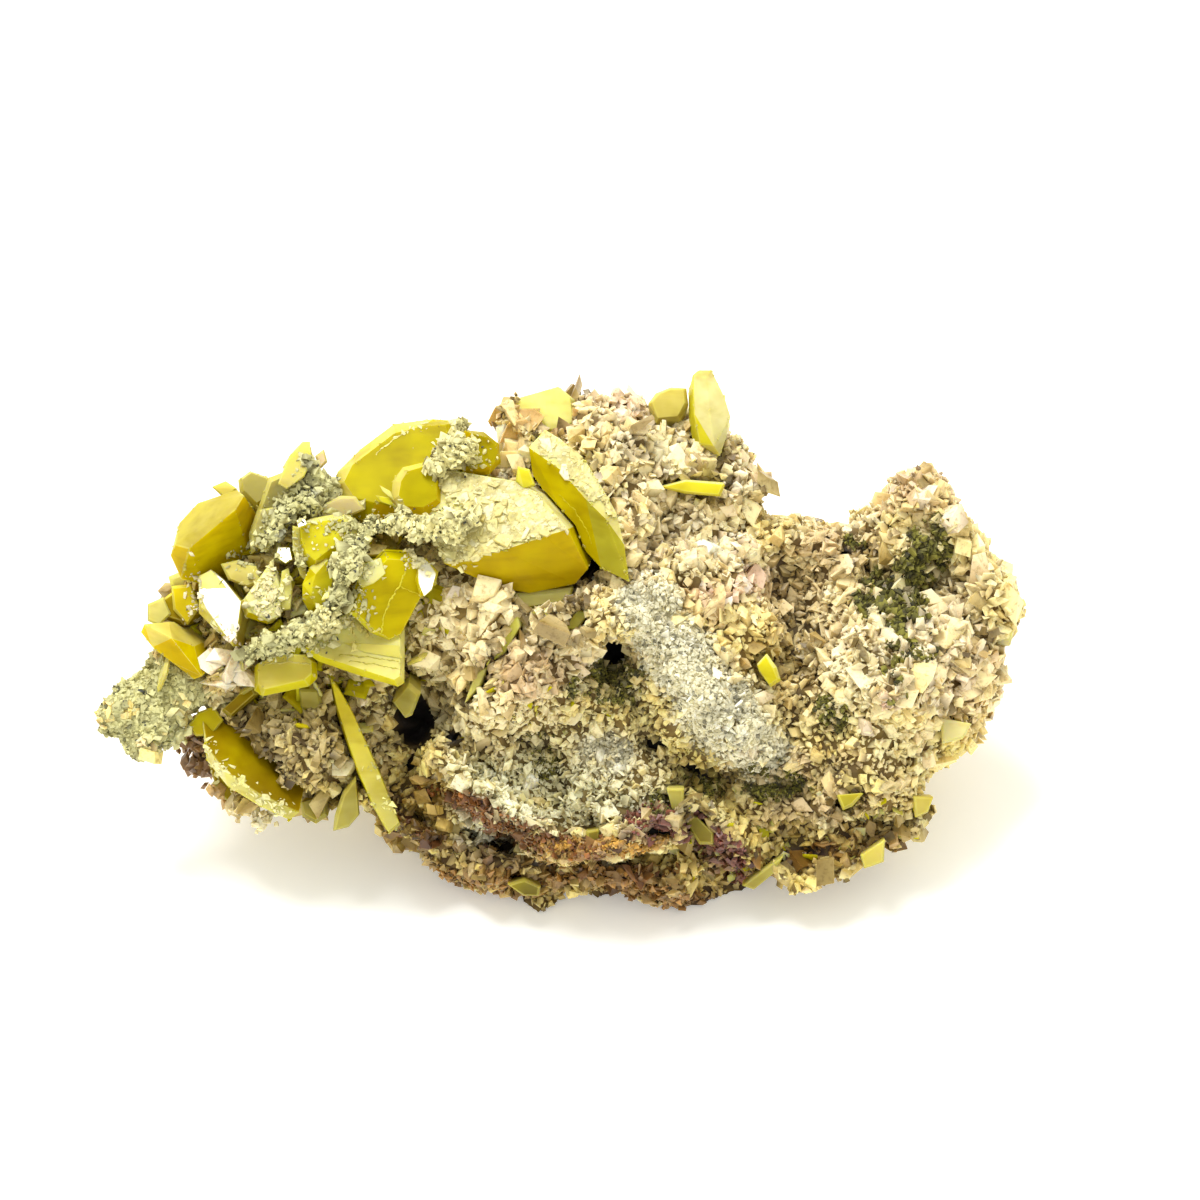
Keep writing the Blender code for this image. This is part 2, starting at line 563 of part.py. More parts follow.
# Small plates scattered over the lower right: outline, height, slope.
SMALL_PLATES = (
    ([(9.6, -14.7), (11.4, -14.7), (11.4, -16.7), (10.2, -17.0)], 3.4, (0.2, 0.1)),
    ([(11.2, -17.6), (12.6, -17.5), (14.4, -19.3), (14.3, -20.4), (12.9, -20.4)], 2.2, (0.0, -0.1)),
    ([(26.6, -15.5), (29.3, -15.3), (28.2, -16.6), (27.2, -17.0)], 2.2, (0.0, -0.4)),
    ([(17.2, -24.6), (18.6, -23.4), (21.4, -21.5), (20.6, -23.2), (18.4, -25.0)], -1.0, (0.0, 0.2)),
    ([(29.0, -21.5), (31.5, -19.9), (31.4, -22.2), (29.4, -22.9)], 0.0, (0.1, 0.0)),
    ([(34.3, -15.6), (36.4, -15.7), (35.8, -17.3), (34.5, -17.8)], -0.8, (-0.2, 0.0)),
    ([(37.0, -7.8), (40.2, -8.4), (39.3, -9.9), (37.2, -10.4)], 0.0, (-0.1, -0.3)),
    ([(-6.3, -24.4), (-4.7, -25.6), (-3.1, -25.6), (-2.9, -24.6), (-4.6, -23.8)], -0.8, (0.0, 0.3)),
    ([(1.6, -19.0), (2.9, -18.8), (2.9, -20.4), (1.6, -20.9)], 2.2, (-0.2, 0.0)),
    ([(42.6, 0.4), (44.6, 1.0), (44.2, -0.6), (42.8, -0.8)], -3.2, (0.0, 0.0)),
)


def small_plates():
    """One node for each small plate, numbered from 1."""
    for number, (outline, w, slope) in enumerate(SMALL_PLATES, start=1):
        points = tabular(outline, w, slope, thick=0.8, bevel=0.2, root=(0.0, 0.3, -2.6))
        yield f"wulfenite_plate_{number}", (LEMON, [points])


def hull_object(name, points, grow):
    """One crystal as a closed hull, grown outwards by the given clearance."""
    bm = bmesh.new()
    add_hull(bm, [to_world(*point) for point in points])
    bmesh.ops.recalc_face_normals(bm, faces=bm.faces)
    bm.normal_update()
    moves = [vert.normal * vert.calc_shell_factor() * grow * MM for vert in bm.verts]
    for vert, move in zip(bm.verts, moves):
        vert.co += move
    return add_object(name, mesh_from(bm, name))


def grown_together(name, crystals, grow=0.0):
    """The crystals of one node as one closed body."""
    body = hull_object(name, crystals[0], grow)
    for number, points in enumerate(crystals[1:], start=2):
        neighbour = hull_object(f"{name}_{number}_helper", points, grow)
        make_helper(neighbour)
        boolean(body, neighbour, "UNION")
    return body


def centre_on_base(nodes):
    """Moves the whole specimen so that the origin is under the middle of its box."""
    corners = [vert.co for obj in nodes for vert in obj.data.vertices]
    low = [min(co[i] for co in corners) for i in range(3)]
    high = [max(co[i] for co in corners) for i in range(3)]
    shift = Matrix.Translation((-(low[0] + high[0]) / 2, -(low[1] + high[1]) / 2, 0.0))
    for obj in nodes:
        obj.data.transform(shift)


def main():
    clear_scene()
    stones = [host_rock()] + [gangue(name, *spec) for name, spec in GANGUE.items()]
    wulfenite = dict(WULFENITE)
    wulfenite.update(small_plates())
    nodes = list(stones)
    for name, (colour, crystals) in wulfenite.items():
        seat = grown_together(name + "_seat", crystals, SEAT_GAP)
        make_helper(seat)
        for stone in stones:
            boolean(stone, seat, "DIFFERENCE")
        crystal = grown_together(name, crystals)
        if name in GROWN_AGAINST:
            boolean(crystal, bpy.data.objects[GROWN_AGAINST[name] + "_seat"], "DIFFERENCE")
            keep_largest_body(crystal)
        paint(crystal, colour, 0.3)
        nodes.append(crystal)
    for stone in stones:
        keep_largest_body(stone)
    centre_on_base(nodes)


main()
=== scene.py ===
"""Looks of the wulfenite specimen: the host rock under a crust of blocky druse, the translucent yellow
wulfenite crystals, the grey-green crust left on them, a pale floor, soft light and the camera.

Lengths in the tables are millimetres on the display face: u to the right, v up the face, w out of it.
A zone is an ellipse on that face: u, v, its half-widths and its turn in degrees.
"""

import json
import math

import bmesh
import bpy
import numpy as np
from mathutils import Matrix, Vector
from mathutils.bvhtree import BVHTree
from mathutils.kdtree import KDTree


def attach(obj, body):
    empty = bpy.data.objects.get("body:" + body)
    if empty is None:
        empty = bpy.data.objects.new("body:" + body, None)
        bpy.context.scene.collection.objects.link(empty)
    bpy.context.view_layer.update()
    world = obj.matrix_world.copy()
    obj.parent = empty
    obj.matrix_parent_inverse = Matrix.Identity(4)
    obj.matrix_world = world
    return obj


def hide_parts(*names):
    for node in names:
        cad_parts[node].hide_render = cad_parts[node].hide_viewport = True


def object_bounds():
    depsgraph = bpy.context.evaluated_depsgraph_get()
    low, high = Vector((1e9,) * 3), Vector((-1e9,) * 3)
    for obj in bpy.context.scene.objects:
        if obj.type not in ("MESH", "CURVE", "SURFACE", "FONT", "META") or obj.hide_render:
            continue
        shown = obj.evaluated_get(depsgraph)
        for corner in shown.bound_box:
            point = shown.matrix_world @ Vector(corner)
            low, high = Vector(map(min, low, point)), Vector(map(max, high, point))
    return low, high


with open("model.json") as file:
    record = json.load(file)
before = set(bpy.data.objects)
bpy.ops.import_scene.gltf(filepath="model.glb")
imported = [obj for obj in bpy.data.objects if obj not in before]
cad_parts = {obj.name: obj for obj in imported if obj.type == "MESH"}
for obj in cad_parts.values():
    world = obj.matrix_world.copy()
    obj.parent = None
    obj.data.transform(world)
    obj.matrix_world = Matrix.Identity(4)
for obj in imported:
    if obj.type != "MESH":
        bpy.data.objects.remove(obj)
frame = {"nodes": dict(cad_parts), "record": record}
CAD_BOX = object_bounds()

MM = 0.001
LEAN = math.radians(45)
FACE_ORIGIN = np.array((0.703, -5.535, 22.8))  # the display face's origin in the row frame
LIMIT_LOW = np.array(CAD_BOX[0]) / MM
LIMIT_HIGH = np.array(CAD_BOX[1]) / MM
AXES = np.array((
    (1.0, 0.0, 0.0),
    (0.0, math.sin(LEAN), math.cos(LEAN)),
    (0.0, -math.cos(LEAN), math.sin(LEAN)),
))
OUTWARD = AXES[2]


def to_world(points):
    """Display-face coordinates to the row frame, both in millimetres."""
    return np.asarray(points, float) @ AXES + FACE_ORIGIN


def to_face(points):
    """The row frame to display-face coordinates, both in millimetres."""
    return (np.asarray(points, float) - FACE_ORIGIN) @ AXES.T


# ---------------------------------------------------------------- numbers

SCRAMBLERS = (374761393, 668265263, 2147483647, 974634777, 1274126177, 2246822519)  # large odd numbers
LOW_32_BITS, LOW_24_BITS = 0xFFFFFFFF, 0xFFFFFF


def lattice(cells, seed):
    """A random number from 0 to 1 for each whole-numbered cell."""
    a, b, c, d, e, f = SCRAMBLERS
    h = cells[..., 0] * a + cells[..., 1] * b + cells[..., 2] * c + seed * d
    h = h.astype(np.int64) & LOW_32_BITS
    h = ((h ^ (h >> 13)) * e) & LOW_32_BITS
    h = ((h ^ (h >> 16)) * f) & LOW_32_BITS
    return ((h ^ (h >> 15)) & LOW_24_BITS) / float(LOW_24_BITS)


def value_noise(points, seed=0):
    """Smooth noise from -1 to 1 with a grain of one unit."""
    base = np.floor(points).astype(np.int64)
    t = points - base
    t = t * t * (3.0 - 2.0 * t)
    total = np.zeros(len(points))
    for corner in range(8):
        step = np.array((corner & 1, corner >> 1 & 1, corner >> 2 & 1))
        weight = np.prod(np.where(step, t, 1.0 - t), axis=1)
        total += weight * lattice(base + step, seed)
    return total * 2.0 - 1.0


def fractal(points, grain, octaves=3, seed=0):
    """Noise whose octaves halve in grain and in size."""
    total = np.zeros(len(points))
    size = 1.0
    for octave in range(octaves):
        total += size * value_noise(points / grain, seed + octave)
        grain *= 0.5
        size *= 0.5
    return total


def wander(points, grain, octaves, *seeds):
    """A column of noise for each seed."""
    return np.stack([fractal(points, grain, octaves, seed) for seed in seeds], 1)


def smoothstep(low, high, x):
    """0 below low, 1 above high, and smooth between them."""
    t = np.clip((x - low) / (high - low), 0.0, 1.0)
    return t * t * (3.0 - 2.0 * t)


def blend(first, second, share):
    return first + (np.asarray(second) - first) * share


# ---------------------------------------------------------------- meshes


def object_from(name, verts, faces, mat, smooth=False):
    """A piece from vertices in millimetres and faces that all have the same number of corners."""
    mesh = bpy.data.meshes.new(name)
    verts = np.clip(np.asarray(verts, float), LIMIT_LOW, LIMIT_HIGH) * MM
    faces = np.asarray(faces)
    mesh.vertices.add(len(verts))
    mesh.vertices.foreach_set("co", verts.astype(np.float32).ravel())
    mesh.loops.add(faces.size)
    mesh.loops.foreach_set("vertex_index", faces.astype(np.int32).ravel())
    mesh.polygons.add(len(faces))
    mesh.polygons.foreach_set("loop_start", np.arange(0, faces.size, faces.shape[1], dtype=np.int32))
    mesh.update(calc_edges=True)
    if not smooth:
        mesh.shade_flat()
    obj = bpy.data.objects.new(name, mesh)
    bpy.context.scene.collection.objects.link(obj)
    mesh.materials.append(mat)
    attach(obj, "root")
    return obj


def set_tints(obj, colours):
    """A colour for each vertex, stored as the attribute that the materials read."""
    attribute = obj.data.color_attributes.new("tint", "FLOAT_COLOR", "POINT")
    rgba = np.ones((len(colours), 4), np.float32)
    rgba[:, :3] = colours
    attribute.data.foreach_set("color", rgba.ravel())


def mesh_arrays(obj):
    """Vertices in millimetres, vertex normals and triangles of an object's mesh."""
    mesh = obj.data
    co = np.empty(len(mesh.vertices) * 3, np.float32)
    mesh.vertices.foreach_get("co", co)
    normals = np.empty(len(mesh.vertices) * 3, np.float32)
    mesh.vertex_normals.foreach_get("vector", normals)
    mesh.calc_loop_triangles()
    tris = np.empty(len(mesh.loop_triangles) * 3, np.int32)
    mesh.loop_triangles.foreach_get("vertices", tris)
    return co.reshape(-1, 3).astype(float) / MM, normals.reshape(-1, 3).astype(float), tris.reshape(-1, 3)


def copy_of(node, name):
    obj = bpy.data.objects.new(name, frame["nodes"][node].data.copy())
    bpy.context.scene.collection.objects.link(obj)
    return obj


def melted(node, voxel):
    """The node's surface as an even mesh: vertices in millimetres, vertex normals and triangles."""
    obj = copy_of(node, node + "_melted")
    remesh = obj.modifiers.new("melt", "REMESH")
    remesh.mode = "VOXEL"
    remesh.voxel_size = voxel * MM
    graph = bpy.context.evaluated_depsgraph_get()
    obj.data = bpy.data.meshes.new_from_object(obj.evaluated_get(graph))
    arrays = mesh_arrays(obj)
    bpy.data.objects.remove(obj)
    return arrays


def tree_from(surfaces):
    """One search tree of several surfaces, each given as its vertices and triangles."""
    verts, tris = [], []
    for co, faces in surfaces:
        tris += [tuple(f + len(verts)) for f in faces]
        verts += [tuple(p) for p in co]
    return BVHTree.FromPolygons(verts, tris)


def surface_of(obj):
    co, _, tris = mesh_arrays(obj)
    return co, tris


def tree_of(node):
    return tree_from([surface_of(frame["nodes"][node])])


RAY_START, RAY_LENGTH = 30.0, 60.0  # from well outside the specimen to behind its display side


def first_hits(tree, flat):
    """Height w and direction of the first surface met from outside the face; NaN where there is none."""
    heights = np.full(len(flat), np.nan)
    normals = np.tile(OUTWARD, (len(flat), 1))
    inward = Vector(-OUTWARD)
    for i, (u, v) in enumerate(flat):
        hit, normal, _, _ = tree.ray_cast(Vector(to_world((u, v, RAY_START))), inward, RAY_LENGTH)
        if hit is not None:
            heights[i] = to_face(np.array(hit))[2]
            normals[i] = normal
    return heights, normals


def surface_height(tree, flat):
    return first_hits(tree, flat)[0]


def smoothed(co, tris, rounds):
    """The mesh's points after being averaged with their neighbours."""
    edges = np.concatenate((tris[:, [0, 1]], tris[:, [1, 2]], tris[:, [2, 0]]))
    count = np.bincount(edges.ravel(), minlength=len(co))[:, None]
    for _ in range(rounds):
        total = np.zeros_like(co)
        for axis in range(3):
            total[:, axis] += np.bincount(edges[:, 0], co[edges[:, 1], axis], len(co))
            total[:, axis] += np.bincount(edges[:, 1], co[edges[:, 0], axis], len(co))
        co = 0.5 * co + 0.5 * total / count
    return co


# ---------------------------------------------------------------- colours of the rock

CREAM = (0.88, 0.79, 0.50)
TAN = (0.78, 0.65, 0.36)
PINKISH = (0.82, 0.68, 0.48)
GREYISH = (0.76, 0.70, 0.47)
WHITE = (0.93, 0.91, 0.74)
SUGAR = (0.74, 0.70, 0.50)
MOSS = (0.15, 0.14, 0.02)
OCHRE = (0.55, 0.38, 0.09)
BROWN = (0.34, 0.22, 0.07)
RUST = (0.18, 0.068, 0.014)
RUSTY_BROWN = (0.30, 0.16, 0.04)
PURPLE = (0.14, 0.042, 0.028)
PINK = (0.74, 0.48, 0.38)
PINK_WHITE = (0.86, 0.74, 0.60)
QUARTZ = (0.80, 0.70, 0.52)
# Painted shade.
SHADED = (0.42, 0.33, 0.14)
# Painted light: cream brightened for druse that lies in shade.
PAINTED_LIGHT_CREAM = (0.99, 0.88, 0.56)
GREENISH = (1.12, 1.11, 0.78)
BLUEGREY = (0.46, 0.46, 0.38)
GANGUE = (0.80, 0.75, 0.37)
GANGUE_GREY = (0.58, 0.56, 0.27)
GANGUE_DARK = (0.33, 0.33, 0.22)
ORANGE = (0.40, 0.22, 0.04)
# Partly the honey colour of crystal in the cluster's gaps, partly painted light reflected from the wulfenite.
GOLD_GAPS_AND_REFLECTED_LIGHT = (0.60, 0.49, 0.12)
WARM_TAN = (0.80, 0.62, 0.30)
AMBER = (0.52, 0.34, 0.12)
# Painted light: a honey tan brightened past its own colour for druse that lies in shade.
HONEY_TAN_PAINTED_LIGHT = (1.12, 0.96, 0.56)
DUSKY = (0.62, 0.48, 0.27)
RED_BROWN = (0.26, 0.15, 0.07)
TAWNY = (0.52, 0.37, 0.19)
GREY_PINK = (0.72, 0.64, 0.48)
CREAMY_DUST = (0.86, 0.80, 0.46)

COOL_CAST = np.array((1.0, 0.98, 1.0))
WARM_CAST = np.array((1.03, 0.97, 0.68))
LOWER_CAST = np.array((1.05, 1.05, 0.82))
ROCK_SHADES = np.array((GREYISH, CREAM, TAN, CREAM, PINKISH, WHITE))
ROCK_SHARES = np.array((0.16, 0.36, 0.58, 0.78, 0.93))  # where one shade gives way to the next
PATCHY_SHARE = 0.16  # grains that take on little of a zone, be it stain, painted shade or painted light

# Colours laid over the crust, in the order in which they lie over each other: a colour, and its zones with
# their strength. Most are stains; the SHADED zones are painted shade, the bright cream and honey-tan zones
# are painted light on druse that lies in shade, and the gold zone under the cluster is partly the honey
# colour of crystal in its gaps and partly painted light reflected from the wulfenite.
STAINS_AND_PAINTED_LIGHT = (
    (MOSS, ((4.5, -4, 3, 2.4, 0, 0.45), (-3.2, -11.6, 2.2, 2.4, 0, 0.72), (9.7, -16.4, 2, 1.5, 0, 0.48),
            (13.4, -14.4, 2, 1.6, 0, 0.36), (20.6, -14, 3.6, 2.2, -10, 0.51), (31, 4.6, 2, 3, -20, 0.45),
            (35.6, 8.6, 2, 3.6, -30, 0.39), (34.4, 4.2, 1.4, 1.8, 0, 0.3), (28.6, 9.6, 1.2, 1, 0, 0.48),
            (33.8, 1.6, 1.6, 1.8, 0, 0.42), (26.2, -7.4, 1.4, 1.8, 20, 0.36),
            (0.8, -4.6, 1.6, 1.2, 0, 0.36), (32.2, -4.2, 1.2, 1.6, 0, 0.42), (33.6, -1.6, 2, 1.4, 0, 0.3))),
    (OCHRE, ((26, 8.5, 6, 3.2, 0, 0.5), (24.5, -2.5, 2, 2.8, 0, 0.5), (19.5, -18.5, 2.5, 1.6, 0, 0.5),
             (-4.5, -2.4, 4.6, 3, 10, 0.35), (-15.6, -17.2, 3.4, 2.8, 0, 0.95))),
    (BROWN, ((-12, -13.5, 2.5, 3.5, 0, 0.4),)),
    (PINK, ((12.8, 4.2, 2.4, 1.8, 0, 0.5), (18.5, 5.6, 3, 1.6, 0, 0.6), (40, -4.5, 4, 5, 0, 0.3),
            (31.5, -6, 1.4, 1.2, 0, 0.8))),
    (GREENISH, ((-6, -15.5, 6.5, 4.6, -18, 0.7), (3, -15.6, 7, 4, -5, 0.6))),
    (BLUEGREY, ((-8, -20.4, 3.6, 2.6, -15, 0.8),)),
    (WHITE, ((3.6, -11.4, 2.6, 2, 0, 0.8), (8, 3, 3, 3.6, 35, 0.55), (10.8, -1.6, 3.4, 4.4, 40, 0.8),
             (14.6, -7, 3.6, 4.6, 40, 0.85), (18.6, -11.2, 3.2, 3.4, 40, 0.7))),
    (RUST, ((-10.8, -16.4, 2.6, 0.9, -20, 0.9), (-7.4, -17.8, 2.8, 0.9, -28, 0.9),
            (-4.6, -19.6, 2.6, 0.9, -35, 0.8))),
    (ORANGE, ((-1, -20.9, 3, 0.8, -8, 0.8), (4, -20.4, 3.6, 0.8, 3, 0.9))),
    (PURPLE, ((9.6, -18.6, 3, 1.4, -10, 0.9), (13.2, -21, 3.4, 1.4, -35, 0.9))),
    (RUST, ((16.6, -23.6, 2, 1, -35, 0.9), (-12.5, -23, 3, 1, -20, 0.7), (-6.6, -23.6, 2, 0.8, -15, 0.9))),
    (ORANGE, ((6, -25.4, 5, 1.2, -5, 0.7),)),
    (RUST, ((10, -25.8, 3.6, 1, -5, 0.7),)),
    (ORANGE, ((27.5, -20.5, 3.4, 1.6, 15, 0.6),)),
    (BROWN, ((22, -21.5, 2.4, 1.4, 0, 0.4),)),
    (WARM_TAN, ((33, -19.5, 2, 1.8, 0, 0.6),)),
    (BROWN, ((-35.5, -13, 3, 3, 0, 0.5),)),
    (ORANGE, ((-6, 22.4, 3.2, 2.4, 0, 0.45), (-1.5, 21.6, 1.6, 1.6, 0, 0.8))),
    (GREYISH, ((-21, -9, 4.5, 3.5, 0, 0.6),)),
    (SHADED, ((-28, -10, 7.5, 5, 0, 0.95),)),
    (GOLD_GAPS_AND_REFLECTED_LIGHT, ((-26, 5, 13, 10, 0, 0.7),)),
    (WARM_TAN, ((27, 9, 5, 2, 0, 0.6),)),
    (PINK, ((6, 23.6, 4, 2.2, 0, 0.35),)),
    (SHADED, ((-20, -9, 3, 4, 0, 0.5),)),
    (PAINTED_LIGHT_CREAM, ((-8, 1.5, 9, 5, 0, 1), (-8, -7.5, 7, 4, 0, 0.8), (2, -13, 8, 5, 0, 0.6))),
    (HONEY_TAN_PAINTED_LIGHT, ((-10.5, 0.5, 5, 5, 0, 0.85), (-6, -7, 4, 4.6, 0, 0.6))),
    (WARM_TAN, ((22.6, -2, 3, 8, 0, 0.4),)),
    (TAWNY, ((35.4, 15.6, 4.4, 3.6, 0, 0.7), (27, 9.4, 6, 1.6, 0, 0.5))),
    (DUSKY, ((-4, -3.2, 3.6, 3.2, 0, 0.75), (1.2, 5, 1.6, 3.4, -20, 0.6), (30, -2, 4, 4, 0, 0.25))),
    (PAINTED_LIGHT_CREAM, ((33, 0, 9, 12, 0, 0.3),)),
    (DUSKY, ((7.5, 7.5, 2.4, 3.6, 0, 0.5), (24, 6, 5, 5, 0, 0.35), (3.5, 21, 6, 3.6, 0, 0.3))),
    (GREENISH, ((-2, -15.5, 9, 3.6, 0, 0.55),)),
    (PINK_WHITE, ((36, -1, 5, 7, 0, 0.35),)),
    (DUSKY, ((24, -15, 9, 4.6, 0, 0.75),)),
    (TAWNY, ((-5, -2.6, 4.4, 2.8, 0, 0.9),)),
    (GREY_PINK, ((8, 14, 9, 9, 0, 0.45),)),
    (HONEY_TAN_PAINTED_LIGHT, ((-6, 2.8, 9, 3.4, 0, 0.7),)),
)
ZONES = [(colour, zone) for colour, zones in STAINS_AND_PAINTED_LIGHT for zone in zones]

# Bands of colour along ledges and valleys: half-width, the line they follow, colour, strength.
BANDS = (
    (1.2, ((-14, -15), (-10, -16), (-5, -19), (-1, -20.8), (3, -20.5)), RUST, 0.95),
    (1.4, ((6, -18.5), (9, -17.5), (13, -19), (16.5, -21), (17.5, -24)), PURPLE, 0.9),
    (1.3, ((-13, -23.5), (-5, -24.5), (3, -23), (8, -25), (13, -26)), RUSTY_BROWN, 0.75),
    (1.3, ((20, -22.5), (26, -21.5), (33, -21)), RUSTY_BROWN, 0.7),
    (1.6, ((-17.5, -18), (-15, -16), (-13, -14)), OCHRE, 0.75),
    (1.5, ((4.5, -3), (7, -8), (8.5, -11), (12, -14), (16, -15), (22, -14.5)), MOSS, 0.24),
    (1.2, ((-3.5, -10), (-3, -13), (-1, -15)), MOSS, 0.33),
    (1.3, ((31, 6), (34, 4), (36, 6), (37, 8)), MOSS, 0.36),
    (1, ((-13, -9), (-9, -10), (-6, -9)), MOSS, 0.24),
    (0.9, ((-1, -16), (3, -15.4), (8, -15.8), (13, -14.6)), MOSS, 0.42),
    (0.8, ((25, -12), (28, -14), (31, -14.6)), MOSS, 0.33),
    (0.6, ((-2.5, -20.9), (2, -20.2), (6, -20.4), (9.5, -19.8)), ORANGE, 0.8),
    (3, ((-16, -21.5), (0, -25), (14, -26.5)), BROWN, 0.45),
    (0.8, ((-19, -17), (-14, -19.5), (-6, -22.6), (2, -23.6), (10, -23.4)), RUST, 0.7),
    (1, ((19, 5), (21, 0), (22, -6)), OCHRE, 0.35),
)

# Open pockets between the druse crystals, sunk into the bed and darkened there with painted shade.
CAVITIES = (
    (4.4, -1.2, 1.8, 1.6, 0), (-15.6, -8, 2.4, 3.4, 10), (-11.6, -9.8, 1, 0.9, 0), (-3.4, 8.2, 1.2, 0.8, 0),
    (2.4, 7.2, 0.9, 1.6, -20), (-16, -12.6, 1, 0.8, 0), (8.8, -19.2, 1.6, 0.6, 0), (27.6, 8.6, 0.9, 0.7, 0),
    (34.4, -1.4, 0.9, 0.7, 0), (8.6, -10.4, 1.2, 0.8, 0), (12.4, -12.8, 1.6, 0.6, -20),
    (-8.4, -10.4, 0.9, 0.6, 0),
)


def distance_to_line(flat, line):
    """Distance of points in the plane to a line through the listed points."""
    nearest = np.full(len(flat), 1e9)
    for start, end in zip(line[:-1], line[1:]):
        start, along = np.array(start, float), np.subtract(end, start).astype(float)
        t = np.clip((flat - start) @ along / (along @ along), 0.0, 1.0)
        nearest = np.minimum(nearest, np.linalg.norm(flat - start - t[:, None] * along, axis=1))
    return nearest


def on_display_side(face):
    return smoothstep(-14.0, -8.0, face[:, 2])


def inside_zone(face, u, v, ru, rv, turn):
    """1 in the middle of a zone, falling to 0 past its edge."""
    a = math.radians(turn)
    du = face[:, 0] - u
    dv = face[:, 1] - v
    along = (du * math.cos(a) + dv * math.sin(a)) / ru
    across = (dv * math.cos(a) - du * math.sin(a)) / rv
    return 1.0 - smoothstep(0.55, 1.35, np.hypot(along, across))


def in_cavity(face):
    return np.max([inside_zone(face, *cavity) for cavity in CAVITIES], axis=0) * on_display_side(face)


def zone_weight(points, zones):
    """How much of the listed zones each point is in."""
    face = to_face(points)
    wobble = fractal(points, 1.8, 3, 17)
    total = np.zeros(len(points))
    for zone in zones:
        total = np.maximum(total, inside_zone(face, *zone[:5]) * on_display_side(face))
    return np.clip(total * (1.0 + 0.9 * wobble), 0.0, 1.0)


def rock_colours(points, rng, spread=1.0):
    """A colour for each point of the crust: creams, tans and pinks, with stains, bands, painted shade and
    light.
    """
    face = to_face(points)
    pick = 0.5 + 0.42 * fractal(points, 3.0, 3, 23) + rng.normal(0.0, 0.11, len(points))
    colours = ROCK_SHADES[np.searchsorted(ROCK_SHARES, pick)]
    warmth = smoothstep(-0.7, 0.7, fractal(points, 7.0, 3, 40))[:, None]
    colours = colours * blend(COOL_CAST, WARM_CAST, warmth)
    colours = colours * (1.0 + rng.normal(0.0, 0.06 * spread, (len(points), 1)))
    wobble = fractal(points, 1.6, 3, 11)
    side = on_display_side(face)
    shifted = face + np.column_stack((wander(points, 2.2, 2, 7, 9), wobble)) * 0.9
    patchy = np.where(rng.random(len(points)) < PATCHY_SHARE, rng.uniform(0.2, 0.6, len(points)), 1.0)
    colours = colours * blend(1.0, LOWER_CAST, smoothstep(0.0, 10.0, -shifted[:, 1])[:, None])

    def tinted_by_zone(colour, share, ragged):
        amount = np.clip(share * side * (1.0 + ragged * wobble), 0.0, 1.0) * patchy
        return blend(colours, colour, amount[:, None])
    for colour, (*zone, strength) in ZONES:
        colours = tinted_by_zone(colour, inside_zone(shifted, *zone) * strength, 0.6)
    for width, line, colour, strength in BANDS:
        near = 1.0 - smoothstep(0.6 * width, 1.5 * width, distance_to_line(shifted[:, :2], line))
        colours = tinted_by_zone(colour, near * strength, 0.7)
    return np.clip(colours, 0.01, 1.2)


# ---------------------------------------------------------------- materials


def shader_of(name):
    mat = bpy.data.materials.new(name)
    mat.use_nodes = True
    tree = mat.node_tree
    return mat, tree, tree.nodes["Principled BSDF"]


def set_inputs(tree, node, **inputs):
    """Sets each input to a value or links it to a socket; an underscore stands for a space in its name."""
    for key, value in inputs.items():
        socket = node.inputs[key.replace("_", " ")]
        if isinstance(value, bpy.types.NodeSocket):
            tree.links.new(value, socket)
        elif socket.type == "RGBA":
            socket.default_value = (*value, 1.0)
        else:
            socket.default_value = value


def add_node(tree, kind, **inputs):
    made = tree.nodes.new("ShaderNode" + kind)
    set_inputs(tree, made, **inputs)
    return made


def object_place(tree):
    return add_node(tree, "TexCoord").outputs["Object"]


def noise(tree, scale, detail=3.0, rough=0.6):
    made = add_node(tree, "TexNoise", Vector=object_place(tree), Scale=scale, Detail=detail, Roughness=rough)
    return made.outputs["Fac"]


def ramp(tree, factor, *stops):
    """A colour for each factor, from stops that give a position and a grey or a colour."""
    made = add_node(tree, "ValToRGB", Fac=factor)
    elements = made.color_ramp.elements
    while len(elements) < len(stops):
        elements.new(0.5)
    for element, (position, colour) in zip(elements, stops):
        element.position = position
        element.color = (*(colour if isinstance(colour, tuple) else (colour,) * 3), 1.0)
    return made.outputs["Color"]


def mix(tree, kind, factor, a, b):
    made = tree.nodes.new("ShaderNodeMix")
    made.data_type = "RGBA"
    made.blend_type = kind
    set_inputs(tree, made, Factor=factor, A=a, B=b)
    return made.outputs["Result"]


def tint(tree):
    """The mesh's own colours."""
    made = tree.nodes.new("ShaderNodeAttribute")
    made.attribute_name = "tint"
    return made.outputs["Color"]


def bump(tree, height, distance, strength=0.4):
    return add_node(tree, "Bump", Strength=strength, Distance=distance * MM, Height=height).outputs["Normal"]


def stone_material(name, roughness, subsurface, grain, depth, speckle=None):
    """Stone that takes its colour from the mesh's own colours, with a fine grain over it."""
    mat, tree, shader = shader_of(name)
    fine = noise(tree, grain, 4.0, 0.65)
    shade = ramp(tree, fine, (0.32, (0.66, 0.60, 0.46)), (0.48, 1.0), (0.75, 1.08))
    colour = mix(tree, "MULTIPLY", 1.0, tint(tree), shade)
    if speckle:
        dark = ramp(tree, noise(tree, speckle, 1.0, 0.5), (0.27, 1.0), (0.31, 0.0))
        colour = mix(tree, "MIX", dark, colour, (0.06, 0.06, 0.05))
    set_inputs(tree, shader, Base_Color=colour, IOR=1.55, Subsurface_Weight=subsurface,
               Roughness=ramp(tree, fine, (0.3, roughness - 0.12), (0.7, roughness + 0.12)),
               Subsurface_Radius=(1.0, 0.8, 0.45), Subsurface_Scale=0.6 * MM, Normal=bump(tree, fine, depth))
    return mat


